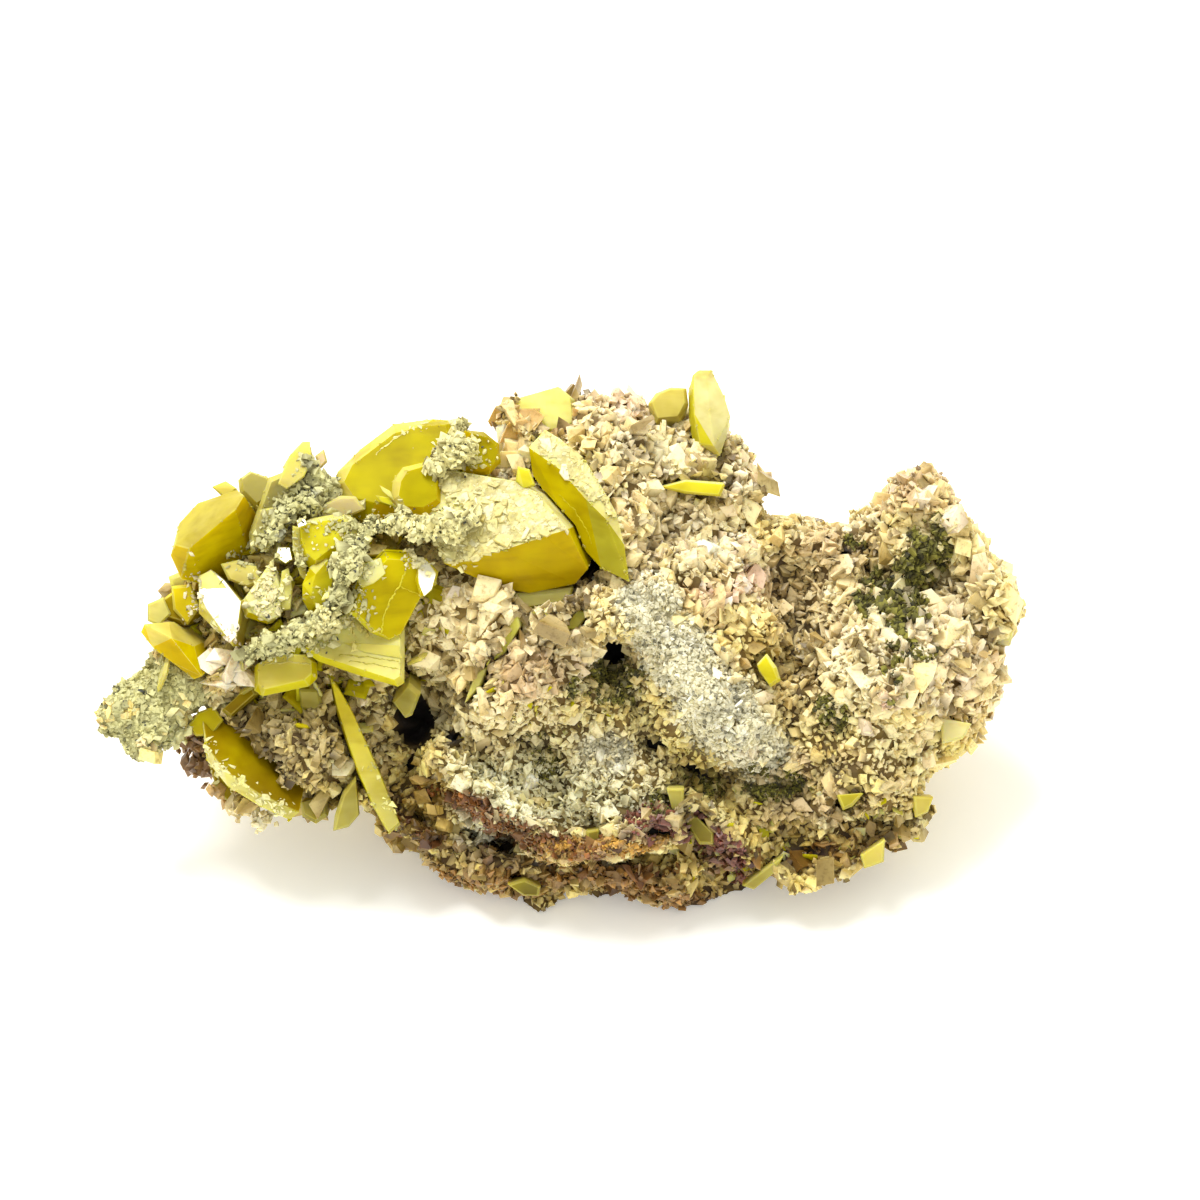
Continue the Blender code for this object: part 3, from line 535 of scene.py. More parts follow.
def wulfenite_material(name, transmission, subsurface, roughness=0.34, ior=1.4, specular=0.05):
    """Translucent crystal that takes its colour from the mesh's own colours, with growth bands and haze."""
    mat, tree, shader = shader_of(name)
    squeezed = add_node(tree, "Mapping", Vector=object_place(tree), Scale=(0.35, 1.0, 2.2)).outputs["Vector"]
    bands = add_node(tree, "TexNoise", Vector=squeezed, Scale=420.0, Detail=5.0).outputs["Fac"]
    broad = noise(tree, 190.0, 3.0, 0.55)
    cloud = ramp(tree, bands, (0.28, (0.80, 0.76, 0.60)), (0.5, 1.0), (0.75, (1.06, 1.08, 1.1)))
    depth = ramp(tree, broad, (0.32, (0.78, 0.74, 0.5)), (0.55, 1.0))
    haze = ramp(tree, broad, (0.54, 0.0), (0.78, 0.3))
    colour = mix(tree, "MULTIPLY", 1.0, tint(tree), cloud)
    colour = mix(tree, "MULTIPLY", 1.0, colour, depth)
    colour = mix(tree, "MIX", haze, colour, (0.80, 0.70, 0.0))
    set_inputs(tree, shader, Base_Color=colour, Transmission_Weight=transmission, IOR=ior,
               Subsurface_Weight=subsurface, Subsurface_Radius=(1.0, 0.8, 0.06), Subsurface_Scale=1.6 * MM,
               Specular_IOR_Level=specular, Normal=bump(tree, bands, 0.10),
               Roughness=ramp(tree, bands, (0.35, roughness), (0.7, roughness * 1.5)))
    return mat


DRUSE_LOOK = stone_material("druse", 0.42, 0.35, 1900.0, 0.10)
BED_LOOK = stone_material("rock_bed", 0.80, 0.0, 900.0, 0.12)
SUGAR_LOOK = stone_material("sugar", 0.35, 0.15, 2500.0, 0.03)
GANGUE_LOOK = stone_material("gangue_crust", 0.85, 0.0, 1300.0, 0.12, speckle=1500.0)
POLISHED_LOOK = wulfenite_material("wulfenite_polished", 0.0, 0.2, 0.12, 2.3, 0.5)
CRUST_LOOK = stone_material("cream_crust", 0.60, 0.3, 2200.0, 0.14)
QUARTZ_LOOK = stone_material("quartz", 0.25, 0.7, 900.0, 0.06)
WULFENITE_LOOKS = {
    "wulfenite_gold": wulfenite_material("wulfenite_gold", 0.15, 0.6),
    "wulfenite_lemon": wulfenite_material("wulfenite_lemon", 0.20, 0.6),
    "wulfenite_olive": wulfenite_material("wulfenite_olive", 0.20, 0.5),
}
LEMON_LOOK = WULFENITE_LOOKS["wulfenite_lemon"]


# ---------------------------------------------------------------- host rock

BED_VOXEL = 0.5  # fine enough for the pits between the druse crystals
RELIEF_GAIN = 1.5
CAVITY_DEPTH = 2.6
BED_DEPTH = 0.75  # how far the bed lies under the druse's own surface
BOX_MARGIN = 0.05
FLAT_FOOT = 0.06  # what is this low lies flat on the ground
# Painted shade on the bed under the druse; the back keeps the paler rock colour.
SHADED_BED = np.array((0.20, 0.15, 0.06))
BACK_BED = np.array((0.62, 0.52, 0.34))
LEFT_LUMP = (-42.5, -7.0, 6.5, 5.4, 25)
CLUSTER = (-26.0, 5.0, 13.0, 9.0, 0)
WHITE_ZONES = [zone for colour, zone in ZONES if colour is WHITE]
MOSS_ZONES = [zone for colour, zone in ZONES if colour is MOSS]
PLATY_ZONES = [zone for colour, zone in ZONES if colour is GREENISH]

# Thin blades that the druse leaves in sight.
BLADES = ("wulfenite_blade_high", "wulfenite_blade_low", "wulfenite_mid_sliver", "wulfenite_right_sliver",
          "wulfenite_crest_sliver", "wulfenite_pale_tip")
BLADE_REVEAL = 0.5  # how far the bed lies behind a thin blade's front

# Ridges and valleys of the display face: height, half-width and the line they follow, as (u, v) points.
RELIEF = (
    (1.6, 3.4, ((-11, 1), (-5, 1), (0, 1))),
    (0.9, 3, ((-9, -7), (-4, -7))),
    (1.6, 2, ((-14, 4), (-7, 5), (-1, 4), (3, 2.5), (6, 1.5))),
    (1.3, 3, ((6, 5), (11, -2), (15, -8), (19, -12.5))),
    (1, 2.6, ((-6, -1.5), (-3, -4))),
    (3, 1.4, ((-14, -12), (-10, -15), (-4, -19), (-1, -20.5), (5, -20.5))),
    (2.2, 1.5, ((7, -19.5), (13, -17.5), (17.5, -21), (20, -24))),
    (1.4, 2.4, ((31, 14), (36, 15), (41, 10), (44, 5))),
    (1.4, 2.8, ((28, -1), (33, -6), (39, -4))),
    (1, 3.5, ((24, -11), (30, -13))),
    (1.2, 1.8, ((12, 8), (16, 4), (20, 2))),
    (0.9, 1.5, ((-24, -8), (-20, -12))),
    (-3.2, 1.6, ((-17, -5), (-14.5, -8), (-16, -10))),
    (-3.5, 1, ((4.2, -0.4), (5, -2))),
    (-1.5, 1.3, ((4.5, -3), (7, -8), (8.5, -11), (12, -14), (16, -15))),
    (-1.3, 1.5, ((-11, 2), (-13, -4), (-14, -8))),
    (-1.2, 1.2, ((-5, -10), (-1, -12), (-1, -15))),
    (-1.3, 2.2, ((20, 8), (22, 2), (23, -4), (22, -9))),
    (-1.4, 1.5, ((30, 7), (33, 4), (36, 5.5), (38, 8.5))),
    (-1, 1.3, ((17, -13), (23, -14.5))),
    (-4.4, 1.2, ((-17, -17.5), (-10, -19.5), (-3, -22.5), (7, -22.8), (13, -21))),
    (-1.4, 1.5, ((26, -16), (30, -19), (33, -19))),
    (-1.5, 1.2, ((3, 7.5), (4, 5.5))),
    (-1.2, 1.2, ((9, 12), (8, 8))),
)


def blade_heights(flat):
    """How far out the front of a thin blade is; NaN where there is none."""
    return np.fmax.reduce([surface_height(tree_of(name), flat) for name in BLADES])


def relief_at(face):
    total = np.zeros(len(face))
    for height, width, line in RELIEF:
        total += height * np.exp(-(distance_to_line(face[:, :2], line) / width) ** 2)
    return total


def bed_shape(co, normals):
    """The host rock's surface, sunk and roughened, with the display face's ridges, valleys and cavities."""
    face = to_face(co)
    wavy = face.copy()
    wavy[:, :2] += 0.8 * wander(co, 2.5, 2, 71, 73)
    relief = RELIEF_GAIN * relief_at(wavy) - CAVITY_DEPTH * in_cavity(wavy)
    lifted = smoothstep(0.0, 1.5, co[:, 2])
    out = relief * smoothstep(-0.2, 0.45, normals @ OUTWARD) * on_display_side(face) * lifted
    push = 0.7 * fractal(co, 3.8, 2, 1) + 0.35 * fractal(co, 1.5, 2, 3) - BED_DEPTH
    co = co + normals * (push * smoothstep(0.0, 0.5, co[:, 2]))[:, None] + OUTWARD * out[:, None]
    face = to_face(co)
    face[:, 2] = np.fmin(face[:, 2], blade_heights(face[:, :2]) - BLADE_REVEAL)
    co = to_world(face)
    co[:, 2] = np.maximum(co[:, 2], 0.0)
    co = np.clip(co, LIMIT_LOW + BOX_MARGIN, LIMIT_HIGH - BOX_MARGIN)
    co[:, 2] = np.where(co[:, 2] < FLAT_FOOT, 0.0, co[:, 2])
    return co


def bed_colours(co, hollow):
    """Dark with painted shade under the druse, paler at the back, and matched to the sugar, the lump and the
    cluster.
    """
    rng = np.random.default_rng(5)
    face = to_face(co)
    back = 1.0 - on_display_side(face)[:, None]
    # Painted shade where the druse covers the bed, darker still in the hollows.
    colours = rock_colours(co, rng, 0.3) * blend(SHADED_BED, BACK_BED, back)
    colours *= (1.0 - 0.5 * smoothstep(0.0, 0.9, hollow))[:, None]
    colours = blend(colours, 0.8 * np.array(GANGUE_GREY), inside_zone(face, *LEFT_LUMP)[:, None])
    colours = blend(colours, 0.7 * np.array(SUGAR), zone_weight(co, WHITE_ZONES)[:, None])
    # In the cluster, partly the honey colour of crystal in the gaps, partly painted light reflected from the
    # wulfenite.
    cluster = inside_zone(face, *CLUSTER)[:, None] * (1.0 - back)
    colours += (0.55 * np.array(GOLD_GAPS_AND_REFLECTED_LIGHT) - colours) * 0.8 * cluster
    # Painted shade in the open pockets.
    colours *= 1.0 - 0.85 * in_cavity(face)[:, None]
    return np.clip(colours, 0.01, 0.9)


class Bed:
    """The rock under the druse."""

    def __init__(self):
        co, normals, tris = melted("host_rock", BED_VOXEL)
        piece = object_from("rock_bed", bed_shape(co, normals), tris, BED_LOOK, smooth=True)
        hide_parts("host_rock")
        self.co, self.normals, self.tris = mesh_arrays(piece)
        self.hollow = self.hollowness()
        set_tints(piece, bed_colours(self.co, self.hollow))
        print("bed", len(tris), "triangles")

    def hollowness(self):
        """How deep each point lies in a hollow, in millimetres."""
        near = smoothed(self.co, self.tris, 30)
        wide = smoothed(near, self.tris, 150)
        hollow = np.sum((near - self.co) * self.normals, axis=1)
        hollow += 0.8 * np.sum((wide - near) * self.normals, axis=1)
        return hollow

    def sample(self, count, rng, weight):
        """Random points on the bed: place, direction and how deep in a hollow they are."""
        co, tris = self.co, self.tris
        a, b, c = co[tris[:, 0]], co[tris[:, 1]], co[tris[:, 2]]
        chance = np.linalg.norm(np.cross(b - a, c - a), axis=1) / 2 * weight((a + b + c) / 3)
        chosen = rng.choice(len(tris), count, p=chance / chance.sum())
        r1 = np.sqrt(rng.random(count))
        r2 = rng.random(count)
        shares = (1 - r1, r1 * (1 - r2), r1 * r2)
        corners = [tris[chosen, i] for i in range(3)]
        points = sum(p[:, None] * co[i] for p, i in zip(shares, corners))
        directions = sum(p[:, None] * self.normals[i] for p, i in zip(shares, corners))
        hollow = sum(p * self.hollow[i] for p, i in zip(shares, corners))
        return points, directions / np.linalg.norm(directions, axis=1)[:, None], hollow


# ---------------------------------------------------------------- grains

CUBE = np.array([(x, y, z) for x in (-1, 1) for y in (-1, 1) for z in (-1, 1)], float)


def cube_on_corner():
    z = np.ones(3) / math.sqrt(3)
    x = np.array((1.0, -1.0, 0.0)) / math.sqrt(2)
    return CUBE @ np.stack((x, np.cross(z, x), z), axis=1)


def hull_template(points):
    """Vertices and triangles of the points' convex hull."""
    bm = bmesh.new()
    for point in points:
        bm.verts.new(point)
    hull = bmesh.ops.convex_hull(bm, input=bm.verts)
    spare = {item for item in hull["geom_interior"] if isinstance(item, bmesh.types.BMVert)}
    bmesh.ops.delete(bm, geom=list(spare), context="VERTS")
    bmesh.ops.triangulate(bm, faces=bm.faces)
    bmesh.ops.recalc_face_normals(bm, faces=bm.faces)
    bm.verts.index_update()
    verts = np.array([vert.co[:] for vert in bm.verts])
    tris = np.array([[vert.index for vert in face.verts] for face in bm.faces])
    bm.free()
    return verts, tris


def chipped(corners, rng):
    """The corners moved a little, and two of them each cut back to two that lie further in."""
    corners = corners + rng.normal(0, 0.12, corners.shape)
    broken = rng.choice(len(corners), 2, replace=False)
    middle = corners.mean(axis=0)
    extra = [corners[b] + (middle - corners[b]) * rng.uniform(0.1, 0.3) + rng.normal(0, 0.16, 3)
             for b in broken for _ in range(2)]
    return np.concatenate((np.delete(corners, broken, axis=0), extra))


def rhomb(rng):
    """A rhombohedron on a corner, so that three flat faces meet at the tip, with chipped edges."""
    stretch = np.array((rng.uniform(0.75, 1.0), rng.uniform(0.5, 1.0), rng.uniform(0.5, 0.9))) * 0.85
    return chipped(cube_on_corner() * stretch, rng)


def block(rng):
    """A leaning block with chipped edges."""
    lean = np.array(((1, 0.35, 0.3), (0, 0.85, 0.35), (0, 0, rng.uniform(0.45, 0.9))))
    return chipped(CUBE @ lean.T * 0.8, rng)


def wedge(rng):
    """A chisel: a short sharp ridge over a four-cornered foot."""
    half = rng.uniform(0.35, 0.8)
    foot = [(-1, -half, -1), (1, -half, -1), (1, half, -1), (-1, half, -1)]
    ridge = [(rng.uniform(-0.9, -0.2), rng.uniform(-0.3, 0.1), rng.uniform(0.5, 1.0)),
             (rng.uniform(0.1, 0.9), rng.uniform(-0.1, 0.3), rng.uniform(0.2, 0.9)),
             (rng.uniform(-0.4, 0.4), rng.uniform(-0.4, 0.4), rng.uniform(0.7, 1.0))]
    return np.array(foot + ridge) + rng.normal(0, 0.1, (7, 3))


def upright_plate(rng):
    """A thin lozenge standing on edge."""
    half = rng.uniform(0.10, 0.24)
    outline = np.array(((-1, -0.1), (-0.1, -1), (1, -0.2), (0.15, 0.95))) + rng.normal(0, 0.14, (4, 2))
    return [(x, side * half + 0.1 * z, z) for x, z in outline for side in (-1, 1)]


def splinter(rng, corners=6):
    """The plainest grain, for what is too small to show its faces."""
    return CUBE[rng.permutation(8)[:corners]] * 0.7 + rng.normal(0, 0.2, (corners, 3))


def flake(rng):
    """A thin uneven chip that lies flat."""
    sides = rng.integers(4, 7)
    angles = np.sort(rng.random(sides)) * 2 * math.pi
    reach = rng.uniform(0.6, 1.1, sides)
    rim = [(r * math.cos(a), r * math.sin(a)) for r, a in zip(reach, angles)]
    top = rng.uniform(0.12, 0.3)
    return [(x, y, -top) for x, y in rim] + [(0.85 * x, 0.85 * y, top) for x, y in rim]


def tablet(rng):
    """A small square plate with slanted rims, standing at a slant."""
    half = rng.uniform(0.10, 0.2)
    wide = np.array(((-1, -0.8), (1, -0.9), (0.9, 0.9), (-0.9, 1.0))) + rng.normal(0, 0.15, (4, 2))
    rim = [(x, 0.0, z) for x, z in wide]
    return rim + [(0.75 * x, side * half, 0.75 * z) for x, z in wide for side in (-1, 1)]


def grains(kind, count, rng, *options):
    """Different shapes of one kind of grain, about one unit in half-size."""
    return [hull_template(kind(rng, *options)) for _ in range(count)]


def thinned(points, spacing, rng):
    """Which of the points to keep so that no two are nearer than their spacing."""
    order = rng.permutation(len(points))
    tree = KDTree(len(points))
    for i, point in enumerate(points):
        tree.insert(point, i)
    tree.balance()
    gone = np.zeros(len(points), bool)
    kept = []
    for i in order:
        if gone[i]:
            continue
        kept.append(i)
        for _, j, _ in tree.find_range(points[i], spacing[i]):
            gone[j] = True
    return np.array(sorted(kept))


def random_frames(normals, lean, rng):
    """A rotation for each normal: z near the normal, the rest turned at random."""
    z = normals + rng.normal(0, lean, normals.shape)
    z /= np.linalg.norm(z, axis=1)[:, None]
    helper = rng.normal(0, 1, normals.shape)
    x = np.cross(helper, z)
    x /= np.linalg.norm(x, axis=1)[:, None]
    return np.stack((x, np.cross(z, x), z), axis=2)


def outward_frames(count, lean, rng):
    return random_frames(np.tile(OUTWARD, (count, 1)), lean, rng)


def stretched(half, low, high, rng):
    """Half-sizes along each grain's own axes."""
    return half[:, None] * rng.uniform(low, high, (len(half), 3))


def shades_of(colour, low, high, count, rng):
    return np.array(colour) * rng.uniform(low, high, (count, 1))


def darken_some(colours, half, share, shade, size, rng):
    """Gives a share of the grains a dark shade and one half-size."""
    dark = rng.random(len(half)) < share
    colours[dark] *= shade
    half[dark] = size


class Clearance:
    """Distance to the wulfenite crystals, so that the druse grows round them and not over them."""

    def __init__(self, nodes):
        self.tree = tree_from([surface_of(frame["nodes"][node]) for node in nodes])

    def encloses(self, point):
        """True inside a crystal: a ray from the point leaves more faces than it enters."""
        way = Vector((0.14, 0.21, 0.97))
        balance = 0
        hit, normal, _, _ = self.tree.ray_cast(point, way)
        while hit is not None:
            balance += 1 if normal.dot(way) > 0 else -1
            hit, normal, _, _ = self.tree.ray_cast(hit + way * 0.001, way)
        return balance > 0

    def outside(self, points, margin):
        """True where a point is outside every crystal by at least its margin."""
        answer = np.ones(len(points), bool)
        for i, point in enumerate(points):
            point = Vector(point)
            hit, normal, _, distance = self.tree.find_nearest(point, 4.0)
            if hit is not None:
                behind = (point - hit).dot(normal) < 0
                answer[i] = distance >= margin[i] and not (behind and self.encloses(point))
        return answer


WULFENITE_NODES = [name for name in frame["nodes"] if name.startswith("wulfenite")]
CLEAR = Clearance(WULFENITE_NODES)
PART_LIMIT = 190000  # triangles in one piece
# The feet are painted shade at the foot of each grain and TIP_SHADE painted light at its tip; HOLLOW_SHADE
# and RIDGE_SHADE are painted shade in the hollows and painted light on the ridges.
DARK_FOOT = (0.22, 0.175, 0.08)
HOLLOW_SHADE = np.array((0.34, 0.29, 0.16))
TIP_SHADE = np.array((1.14, 1.14, 1.17))
RIDGE_SHADE = 1.12
BRIGHTEST = 0.95
GRAIN_MARGIN = 0.02  # how far grains stay inside the solids' box

# What grains are made of: their material, its slot and the painted shade at their foot.
LARGE_DRUSE = (DRUSE_LOOK, "rock", (0.48, 0.40, 0.22))
FINE_DRUSE = (DRUSE_LOOK, "rock", DARK_FOOT)
STAINED_GRIT = (DRUSE_LOOK, "rock", (0.5, 0.45, 0.4))
KNOB_ROCK = (DRUSE_LOOK, "rock", (0.5, 0.45, 0.34))
MOSSY_GRIT = (BED_LOOK, "rock", DARK_FOOT)
WHITE_SUGAR = (SUGAR_LOOK, "rock", (0.84, 0.80, 0.68))
LUMP_CRUST = (GANGUE_LOOK, "rock", (0.66, 0.63, 0.50))
CLEAR_QUARTZ = (QUARTZ_LOOK, "rock", (0.8, 0.76, 0.68))
EDGE_CRYSTAL = (LEMON_LOOK, "wulfenite_lemon", (0.9, 0.88, 0.8))
LOOSE_CRYSTAL = (LEMON_LOOK, "wulfenite_lemon", (0.9, 0.88, 0.7))
PLATE_SCALE = (CRUST_LOOK, "wulfenite_lemon", (0.75, 0.68, 0.45))
CRUST_SCALE = (CRUST_LOOK, "gangue", (0.70, 0.62, 0.40))
LOOSE_CRUST = (GANGUE_LOOK, "gangue", (0.62, 0.58, 0.42))
FIXED_CRUST = (GANGUE_LOOK, "gangue", DARK_FOOT)


def scatter(name, templates, points, frames, sizes, colours, made_of):
    """Copies of the templates at the points, with painted shade at the foot and painted light at the tip,
    joined into few enough pieces.
    """
    mat, slot, foot = made_of
    rng = np.random.default_rng(len(points))
    which = rng.integers(len(templates), size=len(points))
    verts_out, tris_out, colours_out = [], [], []
    start = 0
    for k, (verts, tris) in enumerate(templates):
        chosen = np.nonzero(which == k)[0]
        shaped = verts[None, :, :] * sizes[chosen][:, None, :]
        placed = np.einsum("nij,nvj->nvi", frames[chosen], shaped) + points[chosen][:, None, :]
        inside = (placed > LIMIT_LOW + GRAIN_MARGIN) & (placed < LIMIT_HIGH - GRAIN_MARGIN)
        fits = np.all(inside, axis=(1, 2))
        placed = placed[fits]
        verts_out.append(placed.reshape(-1, 3))
        offsets = start + np.arange(len(placed))[:, None, None] * len(verts)
        tris_out.append((tris[None] + offsets).reshape(-1, 3))
        # Painted shade at each grain's foot, fading to painted light at its tip.
        height = (verts[:, 2] - verts[:, 2].min()) / np.ptp(verts[:, 2])
        shade = blend(np.array(foot), TIP_SHADE, height[:, None] ** 0.65)
        colours_out.append((colours[chosen][fits][:, None, :] * shade[None]).reshape(-1, 3))
        start += len(placed) * len(verts)
    verts_out = np.concatenate(verts_out)
    tris_out = np.concatenate(tris_out)
    colours_out = np.maximum(np.concatenate(colours_out), 0.005)
    colours_out *= np.minimum(1.0, BRIGHTEST / colours_out.max(axis=1, keepdims=True))
    for part, faces in enumerate(np.array_split(tris_out, math.ceil(len(tris_out) / PART_LIMIT)), 1):
        used, renumbered = np.unique(faces, return_inverse=True)
        piece = object_from(f"{name}_{part}", verts_out[used], renumbered.reshape(-1, 3), mat)
        set_tints(piece, colours_out[used])
    print(name, len(points), "grains", len(tris_out), "triangles")


# ---------------------------------------------------------------- druse

# Where the druse grows larger or smaller: a zone and the change in size.
SIZE_ZONES = (
    (37, 2, 8, 12, 0, 0.55), (9, 16, 9, 8, -30, 0.35), (2, -14, 14, 8, 0, -0.32),
    (-8, 1, 8, 4, 0, 0.6), (26, -14, 8, 6, 0, -0.15), (15, 5, 5, 4, 0, 0.3),
)
DEEPEST_HOLLOW = 3.0  # hardly anything grows deeper
BLADE_STEPS = ((0.0, 0.0), (0.6, 0.0), (-0.6, 0.0), (0.0, 0.6), (0.0, -0.6))  # in half-sizes of a grain
STAIN_COLOURS = (RUST, ORANGE, PURPLE, RUSTY_BROWN)
STAIN_LEAST = 0.72  # strength of a band from which it has grains of its own
STAIN_GRAINS_PER_MM = 60


def size_factor(points):
    face = to_face(points)
    total = np.ones(len(points))
    for *zone, change in SIZE_ZONES:
        total += change * inside_zone(face, *zone)
    return total


def facing(centres):
    return 0.35 + 0.9 * on_display_side(to_face(centres))


def in_zones(zones, power=1.0):
    """A weight for points of the bed: how much of the zones they are in."""
    return lambda centres: zone_weight(centres, zones) ** power


class Grower:
    """Puts grains on the bed, clear of the wulfenite crystals."""

    def __init__(self, bed):
        self.bed = bed
        self.rng = np.random.default_rng(21)
        self.share = 1.0

    def place(self, count, low, high, lean, sunk, power, spacing=0.0, margin=0.35, weight=facing,
              on_lump=False, over_sugar=True):
        """Points, half-sizes, hollowness and frames of new grains.

        The half-sizes are from low to high, and a higher power makes more of them small. Grains are as far
        apart as spacing, as deep in the bed as sunk and as far from crystals as margin, all in half-sizes.
        """
        rng = self.rng
        points, normals, hollow = self.bed.sample(int(count * self.share), rng, weight)
        half = (low + (high - low) * rng.random(len(points)) ** power) * size_factor(points)
        if spacing:
            kept = thinned(points, half * spacing, rng)
            points, normals, half, hollow = points[kept], normals[kept], half[kept], hollow[kept]
        keep = (points[:, 2] > half * 0.6) & CLEAR.outside(points, half * margin)
        if not over_sugar:
            keep &= zone_weight(points, WHITE_ZONES) < 0.35 + 0.6 * rng.random(len(points))
        if not on_lump:
            keep &= zone_weight(points, (LEFT_LUMP,)) < 0.3 + 0.3 * rng.random(len(points))
        keep &= hollow < DEEPEST_HOLLOW + 0.8 * rng.random(len(points))
        face = to_face(points)
        keep &= in_cavity(face) < 0.5
        for step in BLADE_STEPS:
            keep &= ~(face[:, 2] + 0.3 * half > blade_heights(face[:, :2] + half[:, None] * step))
        points, normals, half, hollow = points[keep], normals[keep], half[keep], hollow[keep]
        lift = rng.normal(0.0, 0.3, len(points))
        points = points + normals * (half * (lift - sunk))[:, None]
        return points, half, hollow - 0.9 * lift, random_frames(normals, lean, rng)

    def stretched(self, half, low=0.7, high=1.15):
        return stretched(half, low, high, self.rng)


def hollow_shade(hollow, most=1.0):
    """Painted light on the ridges; painted shade, olive and dark, in the hollows."""
    return blend(RIDGE_SHADE, HOLLOW_SHADE, most * smoothstep(-0.2, 1.5, hollow)[:, None])


def blocky_druse(grower):
    """Large crystals, small ones between them, and grit."""
    rng = grower.rng
    shapes = grains(rhomb, 14, rng) + grains(block, 12, rng) + grains(wedge, 10, rng)
    specks = grains(splinter, 16, rng)

    # The colours take painted shade in the hollows and painted light on the ridges from hollow_shade.
    points, half, hollow, frames = grower.place(17000, 0.75, 1.45, lean=0.32, sunk=0.25, power=2.4,
                                                spacing=1.02, over_sugar=False)
    colours = rock_colours(points, rng) * hollow_shade(hollow, 0.6) * 0.95
    scatter("druse_large", shapes, points, frames, grower.stretched(half, 0.5, 1.1), colours, LARGE_DRUSE)

    points, half, hollow, frames = grower.place(34000, 0.38, 0.75, lean=0.5, sunk=0.0, power=1.3,
                                                spacing=0.68, over_sugar=False)
    colours = rock_colours(points, rng) * hollow_shade(hollow, 0.75) * 0.94
    scatter("druse_small", shapes, points, frames, grower.stretched(half, 0.5, 1.15), colours, FINE_DRUSE)

    points, half, hollow, frames = grower.place(11000, 0.20, 0.42, lean=1.0, sunk=-0.9, power=1.4)
    colours = rock_colours(points, rng) * hollow_shade(hollow) * 0.9
    scatter("druse_grit", specks, points, frames, grower.stretched(half), colours, FINE_DRUSE)
    return specks


def platelets(grower):
    def platy(centres):
        return 0.05 + zone_weight(centres, PLATY_ZONES)
    points, half, _, frames = grower.place(2200, 0.35, 0.9, lean=0.5, sunk=-0.5, power=1.2, weight=platy)
    scatter("druse_plates", grains(upright_plate, 14, grower.rng), points, frames, grower.stretched(half),
            rock_colours(points, grower.rng), FINE_DRUSE)


def white_sugar(grower, specks):
    rng = grower.rng
    points, half, hollow, frames = grower.place(11500, 0.12, 0.40, lean=0.9, sunk=-0.8, power=2.2, margin=0.3,
                                                weight=in_zones(WHITE_ZONES, 2))
    drift = 0.90 + 0.34 * fractal(points, 2.5, 3, 77)
    colours = np.array(SUGAR) * (drift * rng.uniform(0.86, 1.04, len(points)))[:, None]
    # Painted shade in the hollows.
    colours *= hollow_shade(hollow, 0.9)
    colours[rng.random(len(points)) < 0.06] *= 0.35
    scatter("white_sugar", specks, points, frames, grower.stretched(half), colours, WHITE_SUGAR)


def stain_grit(grower, name, width, line, colour):
    """Fine crumbly grains of one colour along a ledge."""
    rng = grower.rng
    length = sum(math.dist(a, b) for a, b in zip(line[:-1], line[1:]))

    def near(centres):
        face = to_face(centres)
        distance = distance_to_line(face[:, :2] + 0.5 * wander(centres, 1.4, 2, 81, 83), line)
        return (1.0 - smoothstep(0.25 * width, 0.8 * width, distance)) * on_display_side(face)
    count = int(STAIN_GRAINS_PER_MM * length)
    points, half, _, frames = grower.place(count, 0.12, 0.46, lean=0.9, sunk=-1.3, power=2.0, margin=0.3,
                                           weight=near)
    patchy = (1.0 + 0.4 * fractal(points, 1.5, 2, 85))[:, None]
    colours = shades_of(colour, 0.6, 1.7, len(points), rng) * patchy
    scatter(name, grains(splinter, 12, rng), points, frames, grower.stretched(half), colours, STAINED_GRIT)


def moss(grower):
    rng = grower.rng

    def mossy(centres):
        return zone_weight(centres, MOSS_ZONES) ** 1.5 * smoothstep(-0.1, 0.3, fractal(centres, 0.9, 2, 91))
    points, half, _, frames = grower.place(6500, 0.12, 0.30, lean=1.2, sunk=-2.0, power=1.5, margin=0.3,
                                           weight=mossy)
    colours = shades_of(MOSS, 0.3, 1.8, len(points), rng)
    scatter("moss", grains(splinter, 12, rng, 5), points, frames, grower.stretched(half), colours, MOSSY_GRIT)


def left_lump(grower, specks):
    rng = grower.rng
    points, half, _, frames = grower.place(6500, 0.10, 0.45, lean=0.5, sunk=0.3, power=2.6, margin=0.3,
                                           weight=in_zones((LEFT_LUMP,)), on_lump=True)
    drift = 1.0 + 0.25 * fractal(points, 2.0, 3, 79)
    colours = np.array(GANGUE_GREY) * (drift * rng.uniform(0.7, 1.1, len(points)))[:, None]
    colours[rng.random(len(points)) < 0.05] *= 0.3
    shapes = specks + grains(block, 6, rng)
    scatter("left_lump_grains", shapes, points, frames, grower.stretched(half), colours, LUMP_CRUST)


def druse(bed):
    grower = Grower(bed)
    specks = blocky_druse(grower)
    platelets(grower)
    white_sugar(grower, specks)
    for number, (width, line, colour, strength) in enumerate(BANDS, 1):
        if colour in STAIN_COLOURS and strength > STAIN_LEAST:
            stain_grit(grower, f"stain_{number}", width, line, colour)
    moss(grower)
    left_lump(grower, specks)


